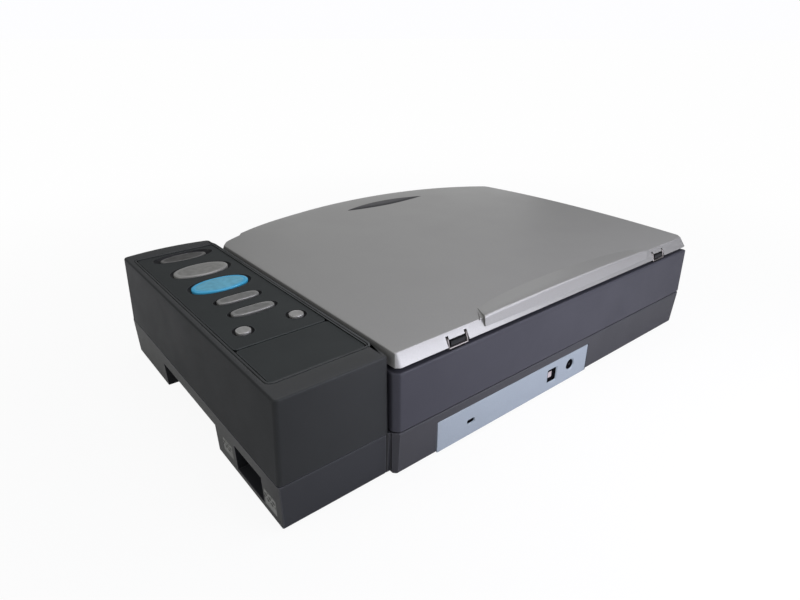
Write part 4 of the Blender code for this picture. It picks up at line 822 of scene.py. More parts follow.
# %% Buttons and their wells
SLIM_PAIR = ("slim_button_front", "slim_button_rear")
ROUND_PAIR = ("round_button_left", "round_button_right")
BUTTONS = {
    "dark_button": (0.0063, 0.0024, 0.0028),
    **dict.fromkeys(("grey_button", "blue_button"), (0.0030, 0.0020, 0.0017)),
    **dict.fromkeys(SLIM_PAIR, (0.0030, 0.0028, 0.0017)),
    **dict.fromkeys(ROUND_PAIR, (0.0023, 0.0023, 0.0016)),
}
WELL_GAP = 0.0004
WELL_WALL = 0.0012
WELL_LIP = 0.00012
WELL_LINE = ((0.985, 0.0), (0.95, 0.10), (0.82, 0.42), (0.62, 0.72), (0.36, 0.93), (0.10, 1.0), (0.0, 1.04))
PANEL_TOP = PANEL_HIGH.z
PANEL_GAP = 0.0005
PLATE_CORNER = 0.0030
PLATE_ROLL = 0.00025
OVAL_STEPS = 72
SLIM_FULL = 3.2
ROUND_FULL = 2.15
SLIM_LONGEST, SLIM_RATIO = 0.018, 2.2


def oval_of(node):
    """(middle x, middle y, half length, half width, top) of a button."""
    low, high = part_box(node)
    return (low.x + high.x) / 2, (low.y + high.y) / 2, (high.x - low.x) / 2, (high.y - low.y) / 2, high.z


def oval(x, y, a, b, z):
    """An oval ring. A slim one has blunter ends than an ellipse."""
    power = 2 / (SLIM_FULL if SLIM_RATIO * b < a < SLIM_LONGEST else ROUND_FULL)
    points = []
    for i in range(OVAL_STEPS):
        c, s = math.cos(2 * math.pi * i / OVAL_STEPS), math.sin(2 * math.pi * i / OVAL_STEPS)
        points.append((x + math.copysign(a * abs(c) ** power, c), y + math.copysign(b * abs(s) ** power, s), z))
    return points


def well_ring(node, share, z):
    """A button's oval with its running gap round it and, at a share of 1, its whole well."""
    x, y, a, b, _ = oval_of(node)
    ends, sides, _ = BUTTONS[node]
    return oval(x, y, a + WELL_GAP + (ends - WELL_GAP) * share, b + WELL_GAP + (sides - WELL_GAP) * share, z)


def flat_plate(name, x0, y0, x1, y1):
    """A plate of the panel with round corners in plan and a fine roll along its upper edge."""
    plan = rounded_plan(x0, y0, x1, y1, PLATE_CORNER)
    inner = rounded_plan(x0 + PLATE_ROLL, y0 + PLATE_ROLL, x1 - PLATE_ROLL, y1 - PLATE_ROLL, PLATE_CORNER - PLATE_ROLL)
    rings = [level(plan, PANEL_LOW.z), level(plan, PANEL_TOP - PLATE_ROLL), level(inner, PANEL_TOP)]
    return piece_of(name, solid(rings), panel_grey, "base", crisp=28)


def make_panel():
    x0, x1 = PANEL_LOW.x + PANEL_GAP, PANEL_HIGH.x - PANEL_GAP
    y0, y1, y2 = PANEL_LOW.y + PANEL_GAP, PANEL_HIGH.y - PANEL_GAP, LABEL_HIGH.y - PANEL_GAP
    plate = flat_plate("panel_face", x0, y0, x1, y1)
    label = flat_plate("label_face", x0, y1 + 3 * PANEL_GAP, x1, y2)
    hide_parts("label_plate")
    heights = (PANEL_LOW.z - WALL_DEEP, PANEL_TOP + WALL_DEEP)
    tools = [object_of("oval", solid([well_ring(node, 1.0, z) for z in heights])) for node in BUTTONS]
    carve(plate, *tools)
    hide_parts("control_panel")


def make_wells():
    bm = bmesh.new()
    for node, (_, _, depth) in BUTTONS.items():
        floor = PANEL_TOP - depth - WELL_WALL
        rings = [well_ring(node, 1.0, PANEL_TOP + WELL_LIP)]
        rings += [well_ring(node, share, PANEL_TOP - depth * fall) for share, fall in WELL_LINE]
        rings += [well_ring(node, 0.0, floor), well_ring(node, 1.0, floor)]
        skin(bm, rings + [rings[0]])
    # The wells take black plastic, darker than the panel, as painted shade in them.
    wells = piece_of("button_wells", bm, black, "base", crisp=50)
    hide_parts("control_panel")


make_panel()
make_wells()
print("Panel with", len(BUTTONS), "wells")

# %% [markdown]
# ## Buttons
#
# The caps are pressed from the inside of a mould: a soft dome in the middle, a fine furrow, and a rim
# that rolls down to the gap. The rim has a colour of its own, on most caps lighter than the dome as a
# painted highlight, and the dome is rougher with rubbed patches, because fingers rub the middle, so each
# cap's own oval masks its finish from the middle to the rim.

# %% Button caps
CAP_LINE = (
    (1.000, -0.00280), (1.000, -0.00075), (0.990, -0.00040), (0.972, -0.00016), (0.948, -0.00004), (0.920, 0.0),
    (0.880, -0.00006), (0.862, -0.00022), (0.846, -0.00022), (0.825, -0.00008), (0.70, -0.00002), (0.50, 0.0),
    (0.30, 0.0), (0.12, 0.0),
)
CAP_TALL = 0.0030
CAP_UNDER = 0.96
STEM = 0.5
FULL_RELIEF = 0.012
# Columns: slot, metal, rim colour, middle colour. On most caps the rim colour is lighter, a painted highlight on the
# rim.
CAP_PAINTS = {
    "dark_button": ("button_dark", 0.15, (0.130, 0.128, 0.124), (0.062, 0.061, 0.058)),
    "grey_button": ("button_grey", 0.20, (0.270, 0.268, 0.255), (0.228, 0.226, 0.212)),
    "blue_button": ("button_blue", 0.05, (0.050, 0.360, 0.590), (0.122, 0.390, 0.525)),
    **dict.fromkeys(SLIM_PAIR, ("button_silver", 0.30, (0.222, 0.222, 0.213), (0.180, 0.180, 0.172))),
    **dict.fromkeys(ROUND_PAIR, ("button_silver", 0.30, (0.340, 0.338, 0.325), (0.305, 0.303, 0.290))),
}


def cap_finish(name, metal, rim_with_highlight, middle, place):
    """Paint whose rim has its own colour, on most caps lighter as a painted highlight, and whose middle is rougher and
    rubbed, on an oval of a given place and size.
    """
    x, y, a, b = place
    finish = Finish(name, Specular_IOR_Level=0.45)
    across = (finish.along("X") - x) / a
    along = (finish.along("Y") - y) / b
    worn_middle_vs_highlit_rim = 1 - ((across * across + along * along) ** 0.5).step(0.80, 0.90)
    cloud = finish.grain(0.0050, 4)
    speck = finish.specks(0.00025)
    rubbed = finish.mix(cloud.step(0.35, 0.68), middle, tinted(middle, 0.80))
    shown = finish.mix(speck * 0.14, finish.mix(worn_middle_vs_highlit_rim, rim_with_highlight, rubbed), tinted(rim_with_highlight, 0.7))
    finish.cover(shown, 0.30 + worn_middle_vs_highlit_rim * 0.12 + (cloud - 0.5) * 0.15, cloud + speck * 0.4, 0.00002, 0.5)
    finish.set("Metallic", metal + speck * 0.08)
    return finish


def make_button(node):
    slot, metal, rim_with_highlight, middle = CAP_PAINTS[node]
    x, y, a, b, top = oval_of(node)
    stem, under = min(a, b) * STEM, top - CAP_TALL
    small = min(1.0, b / FULL_RELIEF)
    rings = [oval(x, y, stem, stem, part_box(node)[0].z), oval(x, y, stem, stem, under)]
    rings.append(oval(x, y, a * CAP_UNDER, b * CAP_UNDER, under))
    for share, lift in CAP_LINE:
        rings.append(oval(x, y, a * share, b * share, top + lift * (small if share < 1 else 1)))
    paint = cap_finish(node + "_paint", metal, rim_with_highlight, middle, (x, y, a, b))
    name = node.replace("button", "cap")
    cap = piece_of(name, solid(rings), paint, frame_body[node], crisp=60)
    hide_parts(node)
    return cap


frame_body = {node: body for body, group in frame["record"]["behaviour"]["bodies"].items() for node in group}
caps = [make_button(node) for node in BUTTONS]
print("Caps", [cap.name for cap in caps])

# %% [markdown]
# ## Body shell
#
# The main body's upper half is a shell with a flat top that carries the glass in a rebate. The photograph
# shows a fine pale line along its rear top edge, which only a rolled edge can give, and its far corner
# stands a little inside the foot's. It is a loop of rings like the module, with one corner taken off
# where it stands proud of the module, and two openings for the hinge blocks.

# %% Body shell
BODY_LOW, BODY_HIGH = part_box("upper_housing")
GLASS_LOW, GLASS_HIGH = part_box("platen_glass")
BODY_CHAMFER = 0.0039
CHAMFER_SHRINK = 0.4
BODY_LEAN = 0.3526
BODY_WALL = 0.0026
BODY_ROLL = 0.0013
SEAM_IN = 0.0016
SEAM_TALL = 0.0009
SEAM_EASE = 0.0002
LEFT_IN_TOP = 0.0042
LEFT_IN_FOOT = 0.0014
BODY_CORNERS = (0.0012, 0.0012, 0.0010, 0.0010, 0.0014)
GLASS_CUT = 0.0010
GLASS_CORNERS = (0.0006, 0.0006, 0.0004, 0.0004, 0.0006)
GLASS_GAP = 0.0003
GLASS_EASE = 0.0002
LEDGE_IN = -0.0035
TOP_THICK = 0.0045
HINGE_HALF = 0.0071
HINGE_GAP = 0.0003
OVERRUN = 0.001


def filleted(corners, backs):
    """Points round a polygon whose corners are cut back by the lengths in backs and rounded."""
    points = []
    for i, ((x, y), back) in enumerate(zip(corners, backs)):
        ends = []
        for other in (corners[i - 1], corners[(i + 1) % len(corners)]):
            way = Vector((other[0] - x, other[1] - y)).normalized() * back
            ends.append((x + way.x, y + way.y))
        for k in range(CORNER_STEPS + 1):
            s = k / CORNER_STEPS
            a, b, c = (1 - s) ** 2, 2 * s * (1 - s), s * s
            points.append((a * ends[0][0] + b * x + c * ends[1][0], a * ends[0][1] + b * y + c * ends[1][1]))
    return points


def cut_plan(x0, y0, x1, y1, cut, backs, z):
    """A rectangle at a height, with one corner cut off where it is right and rear."""
    corners = ((x0, y0), (x1, y0), (x1, y1 - cut), (x1 - cut, y1), (x0, y1))
    return level(filleted(corners, backs), z)


def body_ring(inset, z):
    """The body's outline at a height, moved in all round."""
    drop = BODY_HIGH.z - z
    left = BODY_LOW.x + inset + LEFT_IN_TOP + (LEFT_IN_FOOT - LEFT_IN_TOP) * drop / (BODY_HIGH.z - BODY_LOW.z)
    front = BODY_LOW.y + BODY_LEAN * drop + inset
    cut = BODY_CHAMFER - CHAMFER_SHRINK * inset
    return cut_plan(left, front, BODY_HIGH.x - inset, BODY_HIGH.y - inset, cut, BODY_CORNERS, z)


def glass_ring(spread, z):
    """The outline of the opening for the glass."""
    low, high = (GLASS_LOW.x - spread, GLASS_LOW.y - spread), (GLASS_HIGH.x + spread, GLASS_HIGH.y + spread)
    return cut_plan(*low, *high, GLASS_CUT, GLASS_CORNERS, z)


def hinge_hole(x, floor):
    """A tool for the hole that one hinge block stands in."""
    low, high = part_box("hinge_block_left")
    front, rear = low.y - HINGE_GAP, high.y + HINGE_GAP
    return block("hinge_hole", (x - HINGE_HALF, front, floor - OVERRUN), (x + HINGE_HALF, rear, BODY_HIGH.z + OVERRUN))


def make_body_shell():
    top, foot, ledge, under = BODY_HIGH.z, BODY_LOW.z, GLASS_LOW.z - GLASS_GAP, BODY_HIGH.z - TOP_THICK
    rings = [body_ring(BODY_WALL, foot), body_ring(SEAM_IN, foot), body_ring(SEAM_IN, foot + SEAM_TALL)]
    rings.append(body_ring(0.0, foot + SEAM_TALL + SEAM_EASE))
    rings += [body_ring(0.0, foot + (top - foot) * share) for share in (0.25, 0.5, 0.75, 0.9)]
    rings += [body_ring(inset, top - down) for inset, down in roll_over(BODY_ROLL)]
    rings += [glass_ring(GLASS_GAP + GLASS_EASE, top), glass_ring(GLASS_GAP, top - GLASS_EASE)]
    rings += [glass_ring(GLASS_GAP, ledge), glass_ring(LEDGE_IN, ledge), glass_ring(LEDGE_IN, under)]
    rings += [body_ring(BODY_WALL, under), body_ring(BODY_WALL, under - WALL_DEEP)]
    shell = piece_of("body_shell", solid(rings, tube=True), body_grey, "base", crisp=28)
    carve(shell, *[hinge_hole(x, under) for x in HINGES])
    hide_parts("upper_housing")
    return shell


body_shell = make_body_shell()
print("Body shell", len(body_shell.data.vertices), "points")

# %% [markdown]
# ## Rear connections
#
# A painted plate on the rear carries a square data port, a round power inlet and a slot for a cable
# lock. Each opening has a flared rim, which shows as a thin light line on its lower right. Behind it
# stands a shallow cup of near-black plastic, painted shade, because the photograph shows no more than
# darkness there, with the port's pale tongue and the inlet's pin standing on its floor. The tongue's
# white is painted darker as shade, the pin is black as painted shade, and a near-black strip in the gap
# at the plate's far end is a painted shadow.

# %% Rear plate, port and inlet
PLATE_LOW, PLATE_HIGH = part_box("port_plate")
PORT_AT = (-0.0225, 0.0155)
PORT_HALF = (0.0054, 0.0058)
INLET_AT = (-0.0470, 0.0168)
INLET_RADIUS = 0.0046
LOCK_SLOT_AT = (0.0735, 0.0142)
LOCK_SLOT_HALF = (0.0035, 0.0016)
MOUTH_CORNER = 0.0012
FLARE, LOCK_FLARE, FLARE_DEEP = 0.0011, 0.0005, 0.0011
PLATE_END_GAP = 0.0010
PLATE_FILLET = 0.0006
PLATE_EASE = 0.0002
SHELL_HALF = (0.0050, 0.0048)
SHELL_BACKS = (0.0008, 0.0008, 0.0022, 0.0022)
SHELL_LINE = ((0.0006, 0.1405), (0.0006, 0.1552), (0.0001, 0.1552), (0.0, 0.1549), (0.0, 0.1440))
BARREL_RADIUS = 0.0042
BARREL_LINE = ((0.0008, 0.1421), (0.0008, 0.1545), (0.0002, 0.1545), (0.0, 0.1543), (0.0, 0.1446))
PIN_RADIUS, PIN_STEPS = 0.0010, 16
PIN_LINE = ((0.0, PLATE_LOW.y), (0.0, PLATE_LOW.y + 0.0002), (-0.0004, PLATE_LOW.y + 0.0005))
CUP_GAP, CUP_WALL, CUP_FLOOR, CUP_TALL = 0.0001, 0.0003, 0.0001, 0.0005
TONGUE_LOW, TONGUE_HIGH, TONGUE_TALL = (0.0002, -0.0012), (0.0050, 0.0040), 0.0004


def upright(points, y):
    """Plan points stood up to face the rear."""
    return [(x, y, z) for x, z in points]


def frame_points(centre, half, backs, spread=0.0):
    """A rectangle with rounded corners round a centre, grown by spread."""
    (cx, cz), wide, tall = centre, half[0] + spread, half[1] + spread
    signs = ((-1, -1), (1, -1), (1, 1), (-1, 1))
    return filleted([(cx + wide * i, cz + tall * j) for i, j in signs], backs)


def circle_points(centre, radius, steps=40):
    turns = [2 * math.pi * i / steps for i in range(steps)]
    return [(centre[0] + radius * math.cos(t), centre[1] + radius * math.sin(t)) for t in turns]


def port_mouth(spread):
    return frame_points(PORT_AT, PORT_HALF, [MOUTH_CORNER] * 4, spread)


def inlet_mouth(spread):
    return circle_points(INLET_AT, INLET_RADIUS + spread)


def lock_mouth(spread):
    return frame_points(LOCK_SLOT_AT, LOCK_SLOT_HALF, [MOUTH_CORNER] * 4, spread)


def opening_tool(mouth, flare):
    """A tool for a hole whose rim flares at the rear face; mouth gives its points at a spread."""
    front, rear = PLATE_LOW.y - OVERRUN, PLATE_HIGH.y
    depths = ((rear + OVERRUN, flare), (rear, flare), (rear - FLARE_DEEP, 0.0), (front, 0.0))
    return object_of("opening", solid([upright(mouth(spread), y) for y, spread in depths]))


def make_rear_plate():
    far = PLATE_LOW.x + PLATE_END_GAP
    centre = (far + PLATE_HIGH.x) / 2, (PLATE_LOW.z + PLATE_HIGH.z) / 2
    half = (PLATE_HIGH.x - far) / 2, (PLATE_HIGH.z - PLATE_LOW.z) / 2
    depths = ((0.0, PLATE_LOW.y), (0.0, PLATE_HIGH.y - PLATE_EASE), (PLATE_EASE, PLATE_HIGH.y))
    rings = [upright(frame_points(centre, half, [PLATE_FILLET] * 4, -inset), y) for inset, y in depths]
    plate = piece_of("rear_plate", solid(rings), plate_paint, "base", crisp=28)
    mouths = ((port_mouth, FLARE), (inlet_mouth, FLARE), (lock_mouth, LOCK_FLARE))
    carve(plate, *[opening_tool(mouth, flare) for mouth, flare in mouths])
    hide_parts("port_plate")


def rear_piece(name, bm, finish, node="port_plate"):
    made = piece_of(name, bm, finish, "base", crisp=30)
    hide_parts(node)


def cup(name, outline, line, finish, node="port_plate"):
    """A hollow socket that faces the rear: outline(spread) at each (spread, y), once out and once in."""
    rear_piece(name, solid([upright(outline(spread), y) for spread, y in line]), finish, node)


def shade_lining(name, mouth):
    """A shallow near-black cup just inside an opening of the plate, as painted shade."""
    out, into, back = -CUP_GAP, -CUP_GAP - CUP_WALL, PLATE_LOW.y
    line = ((out, back), (out, back + CUP_TALL), (into, back + CUP_TALL), (into, back + CUP_FLOOR))
    cup(name, mouth, line, painted_shade_black)


def middle_of(node):
    low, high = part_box(node)
    return (low.x + high.x) / 2, (low.z + high.z) / 2


def shell_outline(spread):
    return frame_points(middle_of("usb_socket"), SHELL_HALF, SHELL_BACKS, spread)


def barrel_outline(spread):
    return circle_points(middle_of("power_jack"), BARREL_RADIUS + spread)


def make_tongue():
    (x0, z0), (x1, z1), y = TONGUE_LOW, TONGUE_HIGH, PLATE_LOW.y
    low = (PORT_AT[0] + x0, y, PORT_AT[1] + z0)
    high = (PORT_AT[0] + x1, y + TONGUE_TALL, PORT_AT[1] + z1)
    rear_piece("port_tongue", box_mesh(low, high), shaded_tongue_white)


def make_gap_shadow():
    """A near-black strip in the gap at the plate's far end, a painted shadow."""
    low = (PLATE_LOW.x + CUP_GAP, PLATE_LOW.y, PLATE_LOW.z)
    high = (PLATE_LOW.x + PLATE_END_GAP - CUP_GAP, PLATE_HIGH.y - PLATE_EASE, PLATE_HIGH.z)
    rear_piece("plate_gap_painted_shadow", box_mesh(low, high), painted_shade_black)


make_rear_plate()
cup("port_shell", shell_outline, SHELL_LINE, black, "usb_socket")
make_tongue()
cup("inlet_barrel", barrel_outline, BARREL_LINE, black, "power_jack")
# The pin is black rather than metal, as painted shade inside the inlet.
cup("inlet_pin", lambda spread: circle_points(INLET_AT, PIN_RADIUS + spread, PIN_STEPS), PIN_LINE, black)
shade_lining("port_lining", port_mouth)
shade_lining("inlet_lining", inlet_mouth)
make_gap_shadow()
shade_lining("slot_lining", lock_mouth)
print("Rear plate with three openings, a port and an inlet")

# %% [markdown]
# ## Lock window marks
#
# On the end face two plaques flank the window of the transport lock. They are a shade lighter than the
# case and stippled with small dark pits, so each is a thin plate whose face is a grid pushed in at the
# pits, and the faces down there are painted near black, as painted shade in the pits.

# %% Stippled plaques
PLAQUE_ROWS = 36
PLAQUE_RISE = 0.00022
PLAQUE_THICK = 0.0012
PIT_ROWS, PIT_COLUMNS = 9, 12
PIT_DEEP, PIT_STEEP = 0.0009, 3
PIT_FROM = 0.45
PIT_LOWEST_ROW = 14
PIT_SHADE_DEPTH = 0.00005
END_X, END_LEAN = 0.2270, 0.0009
SPLIT_Z, SPLIT_TALL = 0.0358, 0.0338
PLAQUES = {"plaque_front": (0.0676, 0.0826, 0.0105, 0.0212), "plaque_rear": (0.1287, 0.1437, 0.0072, 0.0195)}


def end_face(z):
    """X of the case's end face under the split."""
    return END_X - END_LEAN * (SPLIT_Z - z) / SPLIT_TALL


def plaque_rise(i, j):
    """How far a point of the plaque's grid stands off the end face: raised, and pushed in at a pit."""
    edge = min(i, j, PLAQUE_ROWS - i, PLAQUE_ROWS - j)
    shift = 0.5 * (round(j / PIT_ROWS) % 2)
    pit = math.cos(2 * math.pi * (i / PIT_COLUMNS + shift)) + math.cos(2 * math.pi * j / PIT_ROWS)
    pitted = edge > 1 and j > PIT_LOWEST_ROW and pit > PIT_FROM
    sunk = PIT_DEEP * min(1.0, (pit - PIT_FROM) * PIT_STEEP) if pitted else 0.0
    return (PLAQUE_RISE if edge else 0.0) - sunk


def make_plaque(name, y0, y1, z0, z1):
    front, back = [], []
    for j in range(PLAQUE_ROWS + 1):
        z = z0 + (z1 - z0) * j / PLAQUE_ROWS
        ys = [y0 + (y1 - y0) * i / PLAQUE_ROWS for i in range(PLAQUE_ROWS + 1)]
        front.append([(end_face(z) + plaque_rise(i, j), y, z) for i, y in enumerate(ys)])
        back.append([(end_face(z) - PLAQUE_THICK, y, z) for y in ys])
    bm = bmesh.new()
    skin(bm, front, loop=False)
    skin(bm, [line[::-1] for line in back], loop=False)
    skin(bm, [lid_border(front), lid_border(back)])
    plaque = piece_of(name, bm, plaque_grey, "base", crisp=60)
    # Faces sunk into the pits take the near-black material, as painted shade in the pits.
    plaque.data.materials.append(painted_shade_black.material)
    for face in plaque.data.polygons:
        sunk = end_face(face.center.z) - face.center.x
        face.material_index = int(PIT_SHADE_DEPTH < sunk < PIT_DEEP)


plaque_grey = moulded("plaque_plastic", (0.230, 0.232, 0.218), 0.55, grain=0.0004)
for name, extent in PLAQUES.items():
    make_plaque(name, *extent)
print("Stippled plaques", list(PLAQUES))

# %% [markdown]
# ## Lid pad
#
# Under the lid a foam mat presses the page flat through a white sheet. The mat is cut foam: flat where
# the sheet lies, with soft upper edges, sides that draw in a little between the corners and a face that
# is never quite even. It is two grids joined at the border.

# %% Foam mat
MAT_LOW, MAT_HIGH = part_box("pad_foam")
MAT_EDGE = 0.0045
MAT_STEPS = (76, 56)
MAT_DRAWN = 0.0012
MAT_WAVE, MAT_TURNS, MAT_PHASE = 0.00025, (61, 83), 1.3
MAT_MEET, MAT_TUCK = 0.25, 3
MAT_MERGE = 0.00002


def mat_places(side, count):
    """Shares of a side of the mat: even, with more of them in its soft edge."""
    soft = [share * MAT_EDGE / side for share in (0.25, 0.6)]
    return sorted({0.0, 1.0, *soft, *[1 - share for share in soft], *[i / count for i in range(1, count)]})


def make_mat():
    size = MAT_HIGH - MAT_LOW
    over, under = [], []
    for t in mat_places(size.y, MAT_STEPS[1]):
        over.append([])
        under.append([])
        for s in mat_places(size.x, MAT_STEPS[0]):
            x = MAT_LOW.x + size.x * s + MAT_DRAWN * hump(t) * (1 - 2 * s)
            y = MAT_LOW.y + size.y * t + MAT_DRAWN * hump(s) * (1 - 2 * t)
            edge = min(s * size.x, (1 - s) * size.x, t * size.y, (1 - t) * size.y)
            share = min(1.0, edge / MAT_EDGE)
            full = math.sqrt(1 - (1 - share) ** 2)
            wave = math.sin(MAT_TURNS[0] * x + MAT_PHASE) * math.sin(MAT_TURNS[1] * y) - 1
            top = size.z * (MAT_MEET + (1 - MAT_MEET) * full) + MAT_WAVE * wave * full
            over[-1].append((x, y, MAT_LOW.z + top))
            under[-1].append((x, y, MAT_LOW.z + size.z * MAT_MEET * (1 - min(1.0, MAT_TUCK * share)) ** 2))
    bm = bmesh.new()
    skin(bm, over, loop=False)
    skin(bm, [line[::-1] for line in under], loop=False)
    bmesh.ops.remove_doubles(bm, verts=bm.verts, dist=MAT_MERGE)
    return piece_of("lid_mat", bm, foam, "lid", crisp=60)


lid_mat = make_mat()
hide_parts("pad_foam")
print("Mat", [round(v, 4) for v in MAT_HIGH - MAT_LOW], "m")

# %% [markdown]
# ## Badge and lid grooves
#
# Near the lid's nose sits a slim lens of grey plastic, about 100 mm long, that stands a millimetre proud,
# with its near edge and side painted nearly black as painted shade. It carries no name here. At the near
# end of the grip a thin curved groove marks where the lip's insert is let into the lid.

# %% Badge and groove
BADGE_LEFT = (-0.1132, -0.1175)
BADGE_RIGHT = (-0.0098, -0.1207)
BADGE_MIDDLE = [(a + b) / 2 for a, b in zip(BADGE_LEFT, BADGE_RIGHT)]
BADGE_HALF, BADGE_TILT = [(b - a) / 2 for a, b in zip(BADGE_LEFT, BADGE_RIGHT)]
BADGE_FAR = 0.0112
BADGE_NEAR = 0.0064
BADGE_PROUD = 0.0012
BADGE_DRAWN = 0.012
BADGE_EDGE = ((1.0, 0.0022), (1.0, 0.0005), (0.985, 0.0002))
BADGE_FACE = (0.95, 0.75, 0.5, 0.25, 0.08)
BADGE_STEPS = 40
LEAST_COVER = 0.0001


def lens_ring(reach, z_drop):
    """The badge's outline, reach times its full size, that far under its top."""
    points = []
    for side, bulge in ((-1, BADGE_FAR), (1, BADGE_NEAR)):
        for i in range(BADGE_STEPS):
            s = side * (1 - 2 * i / BADGE_STEPS)
            across = side * bulge * (1 - s * s)
            x = BADGE_MIDDLE[0] + (BADGE_HALF - (1 - reach) * BADGE_DRAWN) * s
            y = BADGE_MIDDLE[1] + BADGE_TILT * s + across * reach
            surface = max(lid_height(x, y), LID_TOP)
            points.append((x, y, min(surface + BADGE_PROUD, LID_HIGH.z - LEAST_COVER) - z_drop))
    return points


def badge_paint_with_painted_shade():
    """Grey plastic, painted nearly black along its near edge where it turns down, as painted shade."""
    finish = Finish("badge_shaded_edge_plastic", Specular_IOR_Level=0.20)
    s = (finish.along("X") - BADGE_MIDDLE[0]) / BADGE_HALF
    near = finish.along("Y") - BADGE_MIDDLE[1] - s * BADGE_TILT - (1 - s * s) * BADGE_NEAR
    grain = finish.grain(0.0004, 3)
    clear = finish.mix(grain, (0.052, 0.052, 0.055), (0.038, 0.038, 0.041))
    # The band along the near edge is painted nearly black, as painted shade on the side that turns down.
    shown = finish.mix(near.step(-0.0085, -0.0030), clear, (0.004, 0.004, 0.008))
    finish.cover(shown, 0.38 + grain * 0.12, grain, 0.00001, 0.4)
    return finish


badge_rings = [lens_ring(reach, drop) for reach, drop in BADGE_EDGE] + [lens_ring(reach, 0.0) for reach in BADGE_FACE]
badge = piece_of("badge_lens", solid(badge_rings), badge_paint_with_painted_shade(), "lid", crisp=40)
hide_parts("lid_badge")


def groove_tool(path, width, deep):
    """A bent bar along a path of (x, y), whose lower side runs deep under the lid's top."""
    rings = []
    for i, (x, y) in enumerate(path):
        ahead, behind = path[min(i + 1, len(path) - 1)], path[max(i - 1, 0)]
        way = Vector((ahead[0] - behind[0], ahead[1] - behind[1])).normalized() * width / 2
        top = lid_height(x, min(y, LID_REAR))
        over, floor = top + OVERRUN, top - deep * min(1.0, GROOVE_GROWTH * i / len(path) + GROOVE_START)
        left, right = (x - way.y, y + way.x), (x + way.y, y - way.x)
        rings.append([(*left, over), (*left, floor), (*right, floor), (*right, over)])
    return object_of("groove", solid(rings))


GROOVE_FROM, GROOVE_RUN, GROOVE_BEND = (0.0570, 0.1405), (0.0100, 0.0155), 0.0030
GROOVE_WIDE, GROOVE_DEEP, GROOVE_STEPS = 0.0009, 0.0008, 12
GROOVE_START, GROOVE_GROWTH = 0.1, 3
GROOVE = [
    (GROOVE_FROM[0] + GROOVE_RUN[0] * s + GROOVE_BEND * s * s, GROOVE_FROM[1] + GROOVE_RUN[1] * s)
    for s in (i / GROOVE_STEPS for i in range(GROOVE_STEPS + 1))
]
carve(lid_skin, groove_tool(GROOVE, GROOVE_WIDE, GROOVE_DEEP))
print("Badge", round(BADGE_RIGHT[0] - BADGE_LEFT[0], 4), "m long, groove of", len(GROOVE), "points")

# %% [markdown]
# ## Floor screws
#
# Six screws hold the tray to the upper half from below. Each is a low domed head with a cross cut into
# it, turned a little from its neighbour as screws are, so a dome of rings is carved by two thin blocks.

# %% Screws
SCREW_SPOTS = [(x, y) for x in (-0.185, -0.040, 0.105) for y in (-0.060, 0.105)]
SCREW_RADIUS = 0.0032
SCREW_LINE = ((1.0, 0.0006), (1.0, -0.0002), (0.85, -0.0007), (0.55, -0.00098), (0.2, -0.0011))
SCREW_TURN, SCREW_STEPS = 17, 28
CROSS_LONG, CROSS_HALF, CROSS_DEEP = 0.0019, 0.0004, 0.0004
FLOOR_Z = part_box("lower_case")[0].z


def screw_head(name, x, y, turn):
    """A dome that stands down from the tray's floor, less a cross."""
    rings = []
    for share, rise in SCREW_LINE:
        rings.append(level(circle_points((x, y), SCREW_RADIUS * share, SCREW_STEPS), FLOOR_Z + rise))
    head = piece_of(name, solid(rings), steel, "base", crisp=30)
    top, under = FLOOR_Z - CROSS_DEEP, FLOOR_Z + SCREW_LINE[-1][1] - OVERRUN
    for angle in (turn, turn + 90):
        bar = block("bar", (-CROSS_LONG, -CROSS_HALF, under), (CROSS_LONG, CROSS_HALF, top))
        bar.location = (x, y, 0)
        bar.rotation_euler = (0, 0, math.radians(angle))
        carve(head, bar)
    return head


screws = [screw_head(f"screw_head_{i + 1}", x, y, SCREW_TURN * i) for i, (x, y) in enumerate(SCREW_SPOTS)]
print("Screws", len(screws), "heads", SCREW_RADIUS * 2, "m across")

# %% [markdown]
# ## Room
#
# The photograph has a white ground and a soft light from all round, so the object is lit by a plain
# pale world and a wide lamp overhead. Its rear faces are brightest in the middle and fall off to both
# ends, which only lamps that stand near can give: two soft ones behind the rear do that, a small one
# high on the far side draws the bright line on the rolled edges, and wide ones light the end and the
# front. The ground shows as white to the camera, and keeps part of the object's shadow.

# %% Room
WHITE = (1.0, 1.0, 1.0)
PALE = (0.985, 0.985, 1.0)
COOL = (0.88, 0.88, 1.0)
FLOOR_HALF = 60.0
GLOW, GLOW_RISE, GLOW_FADE = 0.93, 0.06, (0.25, 0.90)


def show(owner, output, surface):
    """Gives a finished surface to the output of a material or of the world."""
    owner.feed(owner.tree.nodes[output].inputs["Surface"], surface)


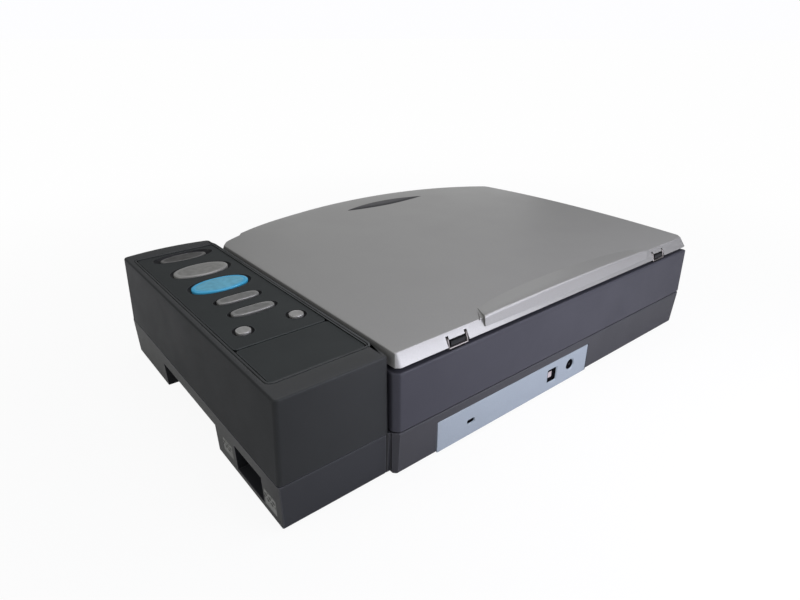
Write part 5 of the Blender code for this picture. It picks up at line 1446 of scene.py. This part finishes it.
def make_floor():
    bm = bmesh.new()
    bmesh.ops.create_grid(bm, x_segments=1, y_segments=1, size=FLOOR_HALF)
    floor = object_of("floor", bm)
    paint = Finish("floor_paint", Base_Color=(0.62, 0.62, 0.63), Roughness=0.9)
    seen = paint.node("LightPath", output="Is Camera Ray")
    glow = paint.node("Emission", {"Color": WHITE, "Strength": 1.0})
    far = (paint.along("X") ** 2 + paint.along("Y") ** 2) ** 0.5
    share = GLOW + far.step(*GLOW_FADE) * GLOW_RISE
    lit = Value(paint, paint.shader.outputs[0])
    show(paint, "Material Output", paint.node("MixShader", {0: seen * share, 1: lit, 2: glow}))
    paint.dress(floor)


def make_world(strength, colour):
    """A pale world that shows as white to the camera and through the glass."""
    scene.world = bpy.data.worlds.new("studio")
    sky = Nodes(scene.world)
    seen = sky.node("LightPath", output="Is Camera Ray")
    through = sky.node("LightPath", output="Is Transmission Ray")
    soft = sky.tree.nodes["Background"]
    sky.feed(soft.inputs["Color"], colour)
    sky.feed(soft.inputs["Strength"], strength)
    white = sky.node("Background", {"Color": PALE})
    either = seen.maths("MAXIMUM", seen, through)
    show(sky, "World Output", sky.node("MixShader", {0: either, 1: Value(sky, soft.outputs[0]), 2: white}))


def lamp(name, place, aim, size, power, colour=WHITE):
    light = bpy.data.lights.new(name, "AREA")
    light.shape = "RECTANGLE"
    light.size, light.size_y = size
    light.energy = power
    light.color = colour
    made = bpy.data.objects.new(name, light)
    made.location = place
    made.rotation_euler = (Vector(aim) - Vector(place)).to_track_quat("-Z", "Y").to_euler()
    scene.collection.objects.link(made)


make_floor()
make_world(0.25, (0.97, 0.98, 1.0))
lamp("overhead", (-0.15, -0.1, 1.6), (0, 0, 0), (1.2, 1.2), 9.5)
lamp("low_front", (-1.0, -1.35, 0.40), (0.0, 0.0, 0.09), (1.2, 0.5), 1.1)
lamp("rear_near", (-0.06, 0.46, 0.17), (-0.03, 0.15, 0.06), (0.36, 0.24), 0.97, COOL)
lamp("rear_high", (-0.05, 0.46, 0.32), (-0.02, 0.15, 0.07), (0.50, 0.34), 1.08, COOL)
lamp("rear_left", (-0.60, 0.40, 0.75), (0.0, 0.15, 0.09), (0.30, 0.30), 1.9, (0.92, 0.90, 1.0))
lamp("end_side", (1.2, 0.1, 0.6), (0.2, 0.0, 0.05), (0.8, 0.8), 4.0)
